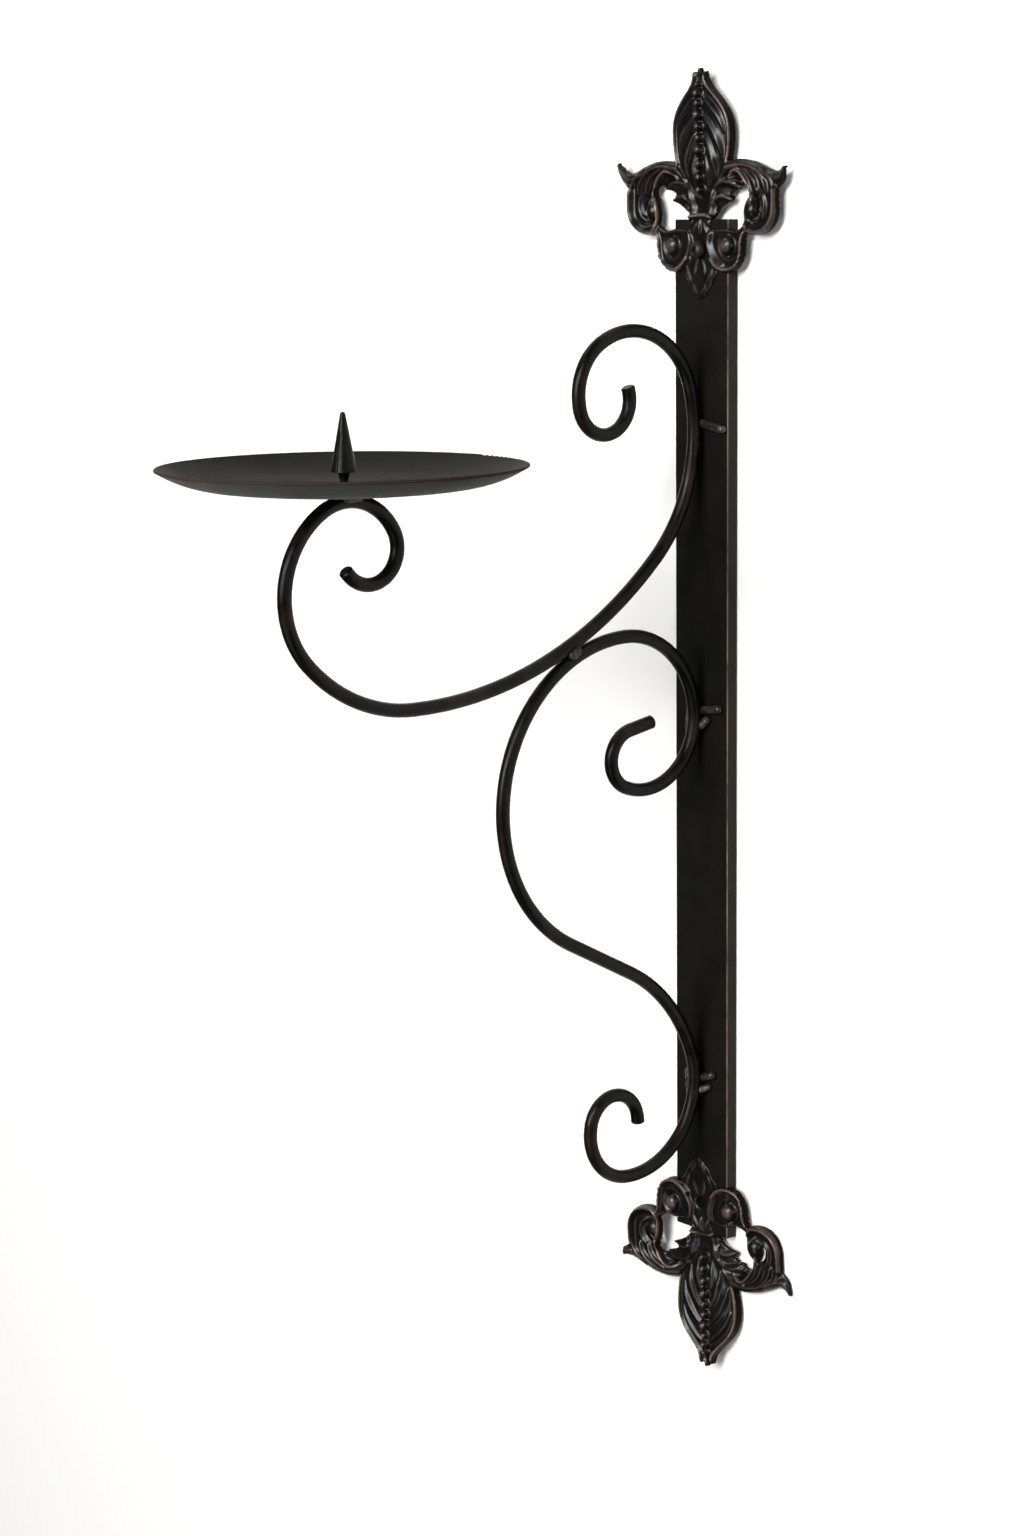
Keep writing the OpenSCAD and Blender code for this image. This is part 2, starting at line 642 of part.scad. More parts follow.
back_bar();
top_lily();
bottom_lily();
upper_scroll();
lower_scroll();
top_peg();
middle_peg();
bottom_peg();
middle_welds();
bottom_welds();
scroll_welds();
pan_welds();
lily_tacks();
drip_pan();
spike_post();
candle_spike();
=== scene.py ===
"""The looks of a wrought iron wall candle holder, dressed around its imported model.

The back bar, the two scrolls, the pan, its post and spike, and the pegs are shown as the model has them,
under paints of their own. The two pressed lilies and the weld beads are modelled here in full relief, and
the cross-head screw that holds the holder to the wall is added. Lengths are in millimetres where a name
or a docstring says so, and every finished mesh is in metres.
"""

from __future__ import annotations

import logging
import math
from dataclasses import dataclass
from enum import Enum

import bmesh
import bpy
import numpy as np
from mathutils import Matrix, Vector, noise

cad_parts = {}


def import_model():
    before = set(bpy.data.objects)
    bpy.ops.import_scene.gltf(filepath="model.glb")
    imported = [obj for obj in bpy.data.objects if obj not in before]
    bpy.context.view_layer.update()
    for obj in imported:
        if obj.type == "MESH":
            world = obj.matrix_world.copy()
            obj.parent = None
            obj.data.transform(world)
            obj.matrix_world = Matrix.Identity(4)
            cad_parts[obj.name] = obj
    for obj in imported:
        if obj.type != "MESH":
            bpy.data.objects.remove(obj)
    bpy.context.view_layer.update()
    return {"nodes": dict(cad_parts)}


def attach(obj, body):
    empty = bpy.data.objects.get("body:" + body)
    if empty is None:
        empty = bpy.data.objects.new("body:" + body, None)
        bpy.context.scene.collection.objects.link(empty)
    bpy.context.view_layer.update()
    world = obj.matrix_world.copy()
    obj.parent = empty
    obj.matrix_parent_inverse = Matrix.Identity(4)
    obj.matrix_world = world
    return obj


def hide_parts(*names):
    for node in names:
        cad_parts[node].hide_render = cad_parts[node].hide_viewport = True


LOG = logging.getLogger("candle_holder")
MM = 0.001
IMAGE_HEIGHT_PX = 1536
SENSOR_MM = 36.0
BAR_WIDE_MM = 45.0
BAR_THICK_MM = 7.5
BAR_END_MM = 17.5
HOLE_UP_MM = 287.0
Point = tuple[float, float]
Colour = tuple[float, float, float]
Socket = bpy.types.NodeSocket
WHITE: Colour = (1.0, 1.0, 1.0)
RUB = "rub"
WALL = "wall"


class Slot(Enum):
    """The material slots that the record names."""

    BAR = "bar_paint"
    LILY = "lily_bronze"
    SCROLL = "scroll_paint"
    WELD = "weld_paint"
    PAN = "pan_paint"
    SPIKE = "spike_paint"


class End(Enum):
    """The end of the back bar that a lily closes."""

    TOP = "top_lily"
    BOTTOM = "bottom_lily"


# Finishes


class Graph:
    """A material and the nodes that feed its shader."""

    def __init__(self, name: str) -> None:
        """Start an empty material.

        Args:
            name: name of the material.
        """
        self.material = bpy.data.materials.new(name)
        self.material.use_nodes = True
        self.tree = self.material.node_tree
        self.shader = self.tree.nodes["Principled BSDF"]
        self.output = self.tree.nodes["Material Output"]
        self.place = self.tree.nodes.new("ShaderNodeTexCoord").outputs["Object"]

    def link(self, source: Socket, target: Socket) -> None:
        """Join two sockets."""
        self.tree.links.new(source, target)

    def feed(self, name: str, value: Socket | float | Colour) -> None:
        """Set one input of the shader, or join a socket to it.

        Args:
            name: the input's name.
            value: a number, a colour or a socket.
        """
        if isinstance(value, Socket):
            self.link(value, self.shader.inputs[name])
        else:
            self.shader.inputs[name].default_value = (*value, 1.0) if isinstance(value, tuple) else value

    def noise(self, scale: float, detail: float = 4.0, rough: float = 0.5,
              stretch: tuple[float, float, float] = (1.0, 1.0, 1.0)) -> Socket:
        """Add a cloud of noise over the piece.

        Args:
            scale: clouds per metre.
            detail: octaves of finer noise.
            rough: how strong the finer octaves are.
            stretch: scale along each axis.

        Returns:
            The noise, from 0 to 1.
        """
        mapping = self.tree.nodes.new("ShaderNodeMapping")
        mapping.inputs["Scale"].default_value = stretch
        self.link(self.place, mapping.inputs["Vector"])
        cloud = self.tree.nodes.new("ShaderNodeTexNoise")
        cloud.inputs["Scale"].default_value = scale
        cloud.inputs["Detail"].default_value = detail
        cloud.inputs["Roughness"].default_value = rough
        self.link(mapping.outputs["Vector"], cloud.inputs["Vector"])
        return cloud.outputs["Fac"]

    def math(self, kind: str, a: Socket | float, b: Socket | float = 0.0, clamp: bool = False) -> Socket:
        """Add one step of arithmetic.

        Args:
            kind: Blender's name of the operation.
            a: first value or socket.
            b: second value or socket.
            clamp: keep the result between 0 and 1.

        Returns:
            The result.
        """
        step = self.tree.nodes.new("ShaderNodeMath")
        step.operation = kind
        step.use_clamp = clamp
        for socket, value in zip(step.inputs, (a, b)):
            if isinstance(value, (int, float)):
                socket.default_value = value
            else:
                self.link(value, socket)
        return step.outputs["Value"]

    def ramp(self, source: Socket, low: float, high: float,
             at_low: float = 0.0, at_high: float = 1.0) -> Socket:
        """Map a value smoothly from one range to another, held at both ends.

        Args:
            source: the value.
            low: where the change starts.
            high: where it ends.
            at_low: the result up to the start.
            at_high: the result from the end on.

        Returns:
            The mapped value.
        """
        span = self.tree.nodes.new("ShaderNodeMapRange")
        span.interpolation_type = "SMOOTHSTEP"
        for name, value in (("From Min", low), ("From Max", high), ("To Min", at_low), ("To Max", at_high)):
            span.inputs[name].default_value = value
        self.link(source, span.inputs["Value"])
        return span.outputs["Result"]

    def blend(self, share: Socket, a: Socket | Colour, b: Socket | Colour) -> Socket:
        """Mix two colours by a share of the second.

        Args:
            share: how much of the second colour shows, from 0 to 1.
            a: first colour.
            b: second colour.

        Returns:
            The mixed colour.
        """
        mix = self.tree.nodes.new("ShaderNodeMix")
        mix.data_type = "RGBA"
        self.link(share, mix.inputs["Factor"])
        for socket, value in ((mix.inputs["A"], a), (mix.inputs["B"], b)):
            if isinstance(value, tuple):
                socket.default_value = (*value, 1.0)
            else:
                self.link(value, socket)
        return mix.outputs["Result"]

    def axis(self, name: str) -> Socket:
        """Give one coordinate of the place on the piece.

        Args:
            name: X, Y or Z.

        Returns:
            The coordinate, in metres.
        """
        split = self.tree.nodes.new("ShaderNodeSeparateXYZ")
        self.link(self.place, split.inputs["Vector"])
        return split.outputs[name]

    def attribute(self, name: str) -> Socket:
        """Give a number that is kept on the mesh.

        Args:
            name: the name of the mesh's attribute.

        Returns:
            The number.
        """
        reader = self.tree.nodes.new("ShaderNodeAttribute")
        reader.attribute_name = name
        return reader.outputs["Fac"]

    def bump(self, height: Socket, depth_mm: float, strength: float) -> None:
        """Roughen the surface by a height.

        Args:
            height: the height, from 0 to 1.
            depth_mm: how deep a height of 1 is.
            strength: how much of the bump shows.
        """
        bump = self.tree.nodes.new("ShaderNodeBump")
        bump.inputs["Strength"].default_value = strength
        bump.inputs["Distance"].default_value = depth_mm * MM
        self.link(height, bump.inputs["Height"])
        self.link(bump.outputs["Normal"], self.shader.inputs["Normal"])


@dataclass(frozen=True)
class IronPaint:
    """Satin paint over iron, with warm brown clouds where the top coat is thin."""

    name: str
    dark: Colour
    warm: Colour
    warmth: float
    cloud_scale: float
    rough_low: float
    rough_high: float
    gloss: float
    grain_scale: float = 900.0
    grain_mm: float = 0.06

    def colour(self, graph: Graph) -> Socket:
        """Mix the two tones of the paint.

        Args:
            graph: the material's nodes.

        Returns:
            The colour.
        """
        cloud = graph.noise(self.cloud_scale, detail=6.0, rough=0.62)
        return graph.blend(graph.ramp(cloud, low=0.44, high=0.74, at_high=self.warmth), self.dark, self.warm)

    def build(self) -> bpy.types.Material:
        """Make the material.

        Returns:
            The finished material.
        """
        graph = Graph(self.name)
        graph.feed("Base Color", self.colour(graph))
        graph.feed("Roughness", self.roughness(graph, patch_scale=2.3))
        graph.feed("Specular IOR Level", self.gloss)
        graph.bump(graph.noise(self.grain_scale, detail=3.0, rough=0.55), self.grain_mm, strength=0.5)
        return graph.material

    def roughness(self, graph: Graph, patch_scale: float) -> Socket:
        """Let the paint's roughness drift over the piece.

        Args:
            graph: the material's nodes.
            patch_scale: patches for each cloud of the colour.

        Returns:
            The roughness.
        """
        patches = graph.noise(self.cloud_scale * patch_scale, detail=5.0, rough=0.6)
        return graph.ramp(patches, low=0.3, high=0.7, at_low=self.rough_low, at_high=self.rough_high)


@dataclass(frozen=True)
class BarPaint(IronPaint):
    """The back bar's paint, with wear along the long edges that is also a painted edge highlight, and sides
    painted lighter and warm as painted bounce light.

    Each band is where a tone sets in, and where it is full, in millimetres short of the side or the face.
    """

    # wear on the long front edges; its light copper tone also serves as a painted edge highlight
    edge_wear_and_highlight: Colour = (0.190, 0.145, 0.110)
    # painted bounce light: the sides' tone is far lighter than the face, standing in for light thrown back by
    # the wall
    side: Colour = (0.030, 0.0245, 0.0170)
    bounce_side_band_mm: Point = (0.35, 0.05)
    edge_wear_and_highlight_band_mm: Point = (0.75, 0.5)
    face_band_mm: Point = (0.8, 0.5)
    rubbing_scale: float = 70.0

    def colour(self, graph: Graph) -> Socket:
        """Mix the face, the sides with their painted bounce light, and the edge wear with its painted
        highlight.

        Args:
            graph: the material's nodes.

        Returns:
            The colour.
        """
        def near(place: Socket, edge_mm: float, band_mm: Point) -> Socket:
            """Rise from 0 to 1 over a band that lies just short of an edge."""
            return graph.ramp(place, (edge_mm - band_mm[0]) * MM, (edge_mm - band_mm[1]) * MM)

        face = super().colour(graph)
        across = graph.math("ABSOLUTE", graph.axis("X"))
        # painted bounce light on both sides of the bar
        face_and_bounce_sides = graph.blend(near(across, BAR_WIDE_MM / 2, self.bounce_side_band_mm), face, self.side)
        out = graph.math("MULTIPLY", graph.axis("Y"), -1.0)
        # wear along the front edges, which is also a painted edge highlight
        corner = graph.math("MULTIPLY", near(across, BAR_WIDE_MM / 2, self.edge_wear_and_highlight_band_mm),
                            near(out, BAR_THICK_MM, self.face_band_mm))
        rubbing = graph.noise(self.rubbing_scale, detail=6.0, rough=0.65, stretch=(1.0, 1.0, 0.45))
        wear = graph.ramp(rubbing, low=0.36, high=0.6, at_low=0.25)
        return graph.blend(graph.math("MULTIPLY", corner, wear, clamp=True), face_and_bounce_sides, self.edge_wear_and_highlight)


@dataclass(frozen=True)
class RubbedBronze(IronPaint):
    """Near-black paint on the lilies, rubbed back to copper brown on every rim and crest.

    How bare each place is, and where the walls and the back are, is kept on the mesh.
    """

    copper: Colour = (0.300, 0.190, 0.145)
    brown: Colour = (0.0090, 0.0055, 0.0035)
    copper_metal: float = 0.65
    breakup_scale: float = 420.0
    drift_scale: float = 38.0
    wall_gloss: float = 0.02

    def build(self) -> bpy.types.Material:
        """Make the material.

        Returns:
            The finished material.
        """
        graph = Graph(self.name)
        rub = graph.attribute(RUB)
        breakup = graph.noise(self.breakup_scale, detail=5.0, rough=0.62)
        breakup = graph.ramp(breakup, low=0.3, high=0.66, at_low=0.45)
        drift = graph.ramp(graph.noise(self.drift_scale, detail=2.0), low=0.35, high=0.62, at_low=0.4)
        bare = graph.math("MULTIPLY", graph.math("MULTIPLY", rub, breakup), drift, clamp=True)
        wall = graph.ramp(graph.attribute(WALL), low=0.05, high=0.6)
        paint = graph.blend(wall, self.colour(graph), self.brown)
        graph.feed("Base Color", graph.blend(bare, paint, self.copper))
        graph.feed("Metallic", graph.ramp(bare, low=0.0, high=1.0, at_high=self.copper_metal))
        graph.feed("Roughness", self.roughness(graph, patch_scale=3.0))
        gloss = graph.ramp(wall, low=0.0, high=1.0, at_low=self.gloss, at_high=self.wall_gloss)
        graph.feed("Specular IOR Level", gloss)
        graph.bump(graph.noise(self.grain_scale, detail=3.0, rough=0.55), self.grain_mm, strength=0.6)
        return graph.material


@dataclass(frozen=True)
class PanPaint(IronPaint):
    """The pan's paint: taupe inside, lighter and greyer underneath as painted bounce light, with a brown band
    at the rim.

    The underside is told from the inside by the middle of the sheet. Its height over the radius is a flat
    bowl as far as the floor goes, with a steeper bowl added from there on, both given per metre.
    """

    centre_y_mm: float = -268.044
    rim_r_mm: float = 100.0
    rim_band_mm: Point = (1.9, 1.2)
    rim_cover: float = 0.85
    rim_brown: Colour = (0.034, 0.023, 0.017)
    # painted bounce light: the underside is painted several times lighter than the face
    under: Colour = (0.082, 0.0815, 0.0710)
    floor_mm: float = 163.97
    floor_rise: float = 0.765
    side_r_mm: float = 71.0
    side_rise: float = 7.6
    blur_mm: float = 0.25

    def colour(self, graph: Graph) -> Socket:
        """Mix the sheet's face, its underside with its painted bounce light, and its rim.

        Args:
            graph: the material's nodes.

        Returns:
            The colour.
        """
        sheet = super().colour(graph)
        away = graph.math("SUBTRACT", graph.axis("Y"), self.centre_y_mm * MM)
        square = graph.math("ADD", graph.math("POWER", graph.axis("X"), 2.0), graph.math("POWER", away, 2.0))
        radius = graph.math("SQRT", square)
        past = graph.math("MAXIMUM", graph.math("SUBTRACT", radius, self.side_r_mm * MM), 0.0)
        side = graph.math("MULTIPLY", graph.math("POWER", past, 2.0), self.side_rise)
        level = graph.math("ADD", graph.math("MULTIPLY", square, self.floor_rise), side)
        above = graph.math("SUBTRACT", graph.axis("Z"), level)
        below = graph.ramp(above, (self.floor_mm - self.blur_mm) * MM, (self.floor_mm + self.blur_mm) * MM,
                           at_low=1.0, at_high=0.0)
        # painted bounce light under the pan
        sheet = graph.blend(below, sheet, self.under)
        start, full = (self.rim_r_mm - short for short in self.rim_band_mm)
        rim = graph.ramp(radius, start * MM, full * MM, at_high=self.rim_cover)
        return graph.blend(rim, sheet, self.rim_brown)


@dataclass(frozen=True)
class Backdrop:
    """The pale wall or floor: it keeps the shadow, and a glow that lights nothing brings it up to white.

    A wall that is seen through from behind lets a view from there reach the holder.
    """

    name: str
    tone: Colour = (0.85, 0.843, 0.822)
    glow: float = 0.04
    see_through: bool = False

    def build(self) -> bpy.types.Material:
        """Make the material.

        Returns:
            The finished material.
        """
        graph = Graph(self.name)
        graph.feed("Base Color", self.tone)
        graph.feed("Roughness", 1.0)
        graph.feed("Specular IOR Level", 0.0)
        path = graph.tree.nodes.new("ShaderNodeLightPath")
        seen = graph.math("ADD", path.outputs["Is Camera Ray"], path.outputs["Is Glossy Ray"], clamp=True)
        seen = graph.math("ADD", seen, path.outputs["Is Transmission Ray"], clamp=True)
        graph.feed("Emission Color", WHITE)
        graph.feed("Emission Strength", graph.math("MULTIPLY", seen, self.glow))
        if self.see_through:
            clear = graph.tree.nodes.new("ShaderNodeBsdfTransparent")
            pick = graph.tree.nodes.new("ShaderNodeMixShader")
            side = graph.tree.nodes.new("ShaderNodeNewGeometry")
            graph.link(side.outputs["Backfacing"], pick.inputs["Fac"])
            graph.link(graph.shader.outputs["BSDF"], pick.inputs[1])
            graph.link(clear.outputs["BSDF"], pick.inputs[2])
            graph.link(pick.outputs["Shader"], graph.output.inputs["Surface"])
        return graph.material


BAR_PAINT = BarPaint("bar_satin_black", dark=(0.0038, 0.0035, 0.0029), warm=(0.0080, 0.0064, 0.0048),
                     warmth=0.4, cloud_scale=26.0, rough_low=0.44, rough_high=0.58, gloss=0.15, grain_mm=0.05)
SCROLL_PAINT = IronPaint("scroll_satin_black", dark=(0.0018, 0.0016, 0.0014), warm=(0.0230, 0.0140, 0.0090),
                         warmth=0.9, cloud_scale=34.0, rough_low=0.26, rough_high=0.42, gloss=0.12)
# the pegs' lighter brown paint is partly their own colour and partly a painted highlight
PEG_PAINT = IronPaint("peg_brown_painted_highlight", dark=(0.0100, 0.0080, 0.0065), warm=(0.0900, 0.0620, 0.0480),
                      warmth=0.9, cloud_scale=120.0, rough_low=0.24, rough_high=0.38, gloss=0.5)
WELD_PAINT = IronPaint("weld_grey_black", dark=(0.012, 0.0105, 0.009), warm=(0.085, 0.070, 0.058),
                       warmth=0.8, cloud_scale=190.0, rough_low=0.26, rough_high=0.44, gloss=0.4)
PAN_PAINT = PanPaint("pan_satin_taupe", dark=(0.0145, 0.0130, 0.0104), warm=(0.0180, 0.0160, 0.0130),
                     warmth=0.5, cloud_scale=14.0, rough_low=0.50, rough_high=0.56, gloss=0.03,
                     grain_scale=700.0, grain_mm=0.03)
SPIKE_PAINT = IronPaint("spike_satin_black", dark=(0.003, 0.0028, 0.0026), warm=(0.014, 0.012, 0.010),
                        warmth=0.5, cloud_scale=120.0, rough_low=0.26, rough_high=0.36, gloss=0.11)
LILY_BRONZE = RubbedBronze("lily_rubbed_bronze", dark=(0.0020, 0.0019, 0.0019), warm=(0.0120, 0.0078, 0.0052),
                           warmth=0.45, cloud_scale=60.0, rough_low=0.27, rough_high=0.37, gloss=0.36,
                           grain_mm=0.015)
SCREW_STEEL = IronPaint("screw_browned_steel", dark=(0.008, 0.006, 0.0045), warm=(0.036, 0.027, 0.019),
                        warmth=0.9, cloud_scale=260.0, rough_low=0.34, rough_high=0.48, gloss=0.3)


def shade(mesh: bpy.types.Mesh, smooth: bool) -> None:
    """Shade every face of a mesh smooth, or every face flat."""
    for polygon in mesh.polygons:
        polygon.use_smooth = smooth


def mesh_piece(name: str, bm: bmesh.types.BMesh, finish: bpy.types.Material) -> bpy.types.Object:
    """Turn a bmesh into a smooth-shaded object at the origin.

    Args:
        name: name of the piece.
        bm: its mesh, which is freed.
        finish: its material.

    Returns:
        The new object.
    """
    mesh = bpy.data.meshes.new(name)
    bm.to_mesh(mesh)
    bm.free()
    mesh.materials.append(finish)
    shade(mesh, smooth=True)
    piece = bpy.data.objects.new(name, mesh)
    bpy.context.scene.collection.objects.link(piece)
    return piece


def share(value: float, start: float, end: float) -> float:
    """Say how far a value has come from the start, at 0, to the end, at 1."""
    return min(max((value - start) / (end - start), 0.0), 1.0)


# Pressed lilies


def smooth_curve(points: tuple[Point, ...], steps: int = 7) -> np.ndarray:
    """Draw a curve through given points.

    Args:
        points: the points, as (across, up).
        steps: short steps between one point and the next.

    Returns:
        The points of the curve, one row each.
    """
    given = np.array(points, float)
    last = len(given) - 1
    rows = []
    for i in range(last):
        a, b, c, d = given[max(i - 1, 0)], given[i], given[i + 1], given[min(i + 2, last)]
        for k in range(steps):
            t = k / steps
            rows.append(0.5 * (2 * b + (c - a) * t + (2 * a - 5 * b + 4 * c - d) * t * t
                               + (3 * b - a - 3 * c + d) * t ** 3))
    rows.append(given[-1])
    return np.array(rows)


@dataclass
class Nearest:
    """How far the nearest place on a line is, how far along it lies, where it is, and on which side."""

    distance: np.ndarray
    along: np.ndarray
    place: np.ndarray
    left: np.ndarray


def nearest_on(line: np.ndarray, at: np.ndarray) -> Nearest:
    """Find the nearest place on a line of points.

    Args:
        line: the line's points, one row each.
        at: the places to measure from, one row each.

    Returns:
        What was found for each place.
    """
    found = Nearest(np.full(len(at), 1e9), np.zeros(len(at)), np.zeros_like(at), np.zeros(len(at), bool))
    lengths = np.linalg.norm(np.diff(line, axis=0), axis=1)
    start = np.concatenate([[0.0], np.cumsum(lengths)])
    for i, length in enumerate(lengths):
        if length < 1e-9:
            continue
        step = line[i + 1] - line[i]
        t = np.clip(((at - line[i]) @ step) / (length * length), 0.0, 1.0)
        foot = line[i] + t[:, None] * step
        away = at - foot
        distance = np.hypot(away[:, 0], away[:, 1])
        closer = distance < found.distance
        found.distance[closer] = distance[closer]
        found.place[closer] = foot[closer]
        found.along[closer] = (start[i] + t[closer] * length) / start[-1]
        found.left[closer] = (step[0] * away[closer, 1] - step[1] * away[closer, 0]) > 0
    return found


def inside(outline: np.ndarray, at: np.ndarray) -> np.ndarray:
    """Say which places lie inside a closed outline.

    Args:
        outline: the outline's points, one row each.
        at: the places, one row each.

    Returns:
        True for each place inside.
    """
    result = np.zeros(len(at), bool)
    for a, b in zip(outline, np.roll(outline, -1, axis=0)):
        if a[1] == b[1]:
            continue
        crosses = (a[1] > at[:, 1]) != (b[1] > at[:, 1])
        result ^= crosses & (at[:, 0] < (b[0] - a[0]) * (at[:, 1] - a[1]) / (b[1] - a[1]) + a[0])
    return result


def eased(value: np.ndarray, start: float, end: float) -> np.ndarray:
    """Rise smoothly from 0 at the start to 1 at the end, which may be the lower value."""
    t = np.clip((value - start) / (end - start), 0.0, 1.0)
    return t * t * (3.0 - 2.0 * t)


def faded(value: np.ndarray) -> np.ndarray:
    """Fall evenly from 1 at nothing to 0 at 1."""
    return np.clip(1.0 - value, 0.0, 1.0)


def rounded(value: np.ndarray) -> np.ndarray:
    """Fall along a quarter circle from 1 at nothing to 0 at 1."""
    return np.sqrt(np.clip(1.0 - value ** 2, 0.0, 1.0))


def hump(value: np.ndarray, middle: float, half: float) -> np.ndarray:
    """Rise to 1 at the middle and fall away to both sides of it."""
    return np.exp(-(((value - middle) / half) ** 2))


@dataclass(frozen=True)
class Patch:
    """A rectangle of the right half of the pressing, open on each side that isn't given."""

    left: float = -math.inf
    right: float = math.inf
    low: float = -math.inf
    high: float = math.inf

    def holds(self, across: np.ndarray | float, up: np.ndarray | float) -> np.ndarray | bool:
        """Say for a place, or for each of some places, whether it lies in the patch."""
        return (across > self.left) & (across < self.right) & (up > self.low) & (up < self.high)


@dataclass
class Places:
    """Places of the pressing: folded onto its right half, how deep in each part, and how bare each one is."""

    half: np.ndarray
    parts: dict[str, np.ndarray]
    bare: np.ndarray

    @property
    def across(self) -> np.ndarray:
        """Give how far each place lies from the middle line."""
        return self.half[:, 0]

    @property
    def up(self) -> np.ndarray:
        """Give how far each place lies above the screw hole."""
        return self.half[:, 1]

    def within(self, part: str) -> np.ndarray:
        """Give 1 at each place inside a part, and 0 elsewhere."""
        return (self.parts[part] > 0) * 1.0

    def rub(self, amount: np.ndarray) -> None:
        """Make each place at least so bare."""
        self.bare = np.maximum(self.bare, amount)

    def raised(self, rolls: tuple[Roll, ...], where: np.ndarray) -> np.ndarray:
        """Take the highest of some rolls, and rub their crests.

        Args:
            rolls: the rolls.
            where: 1 where they are pressed, and 0 elsewhere.

        Returns:
            The height that they add.
        """
        top = np.zeros(len(self.half))
        for roll in rolls:
            lift, line = roll.lift(self.half)
            top = np.maximum(top, lift)
            self.rub(line * where)
        return top * where


@dataclass(frozen=True)
class Boss:
    """A ball that is pressed up in the middle of a ring-shaped dish."""

    middle: Point
    base_mm: float
    rise_mm: float
    r_mm: float
    dish_half_mm: float
    dish_r_mm: float = 6.0
    squash: float = 1.0

    def away(self, at: Places) -> np.ndarray:
        """Give the distance from the boss's middle."""
        return np.hypot(at.across - self.middle[0], (at.up - self.middle[1]) * self.squash)

    def dish(self, at: Places) -> np.ndarray:
        """Give how deep the dish is, from 0 to 1."""
        return hump(self.away(at), self.dish_r_mm, self.dish_half_mm)

    def ball(self, at: Places) -> np.ndarray:
        """Give the height of the ball."""
        return self.base_mm + self.rise_mm * rounded(self.away(at) / self.r_mm)


@dataclass(frozen=True)
class Roll:
    """A rounded roll of the pressing: its curve, its reach to each side of it, and its height.

    A leafy roll swells from its start and runs out to a point at its end. Bare says how much of the paint is
    rubbed off its crest, from 0 to 1.
    """

    points: tuple[Point, ...]
    left_mm: float
    right_mm: float
    height_mm: float
    leafy: float = 0.0
    bare: float = 0.08
    leaf_start: float = 0.05
    leaf_run: float = 0.93
    crest_mm: float = 0.8

    def lift(self, at: np.ndarray) -> tuple[np.ndarray, np.ndarray]:
        """Press the roll.

        Args:
            at: places as (across, up).

        Returns:
            The height that the roll adds at each place, and how bare it is there.
        """
        near = nearest_on(smooth_curve(self.points), at)
        leaf = np.sin(math.pi * (self.leaf_start + self.leaf_run * near.along)) ** 0.7
        swell = 1.0 - self.leafy + self.leafy * leaf
        reach = np.where(near.left, self.left_mm, self.right_mm) * swell
        t = np.clip(near.distance / reach, 0.0, 1.0)
        line = faded(near.distance / (self.crest_mm * swell))
        return self.height_mm * swell ** 0.5 * (1.0 - t * t) ** 1.5, self.bare * line ** 0.6


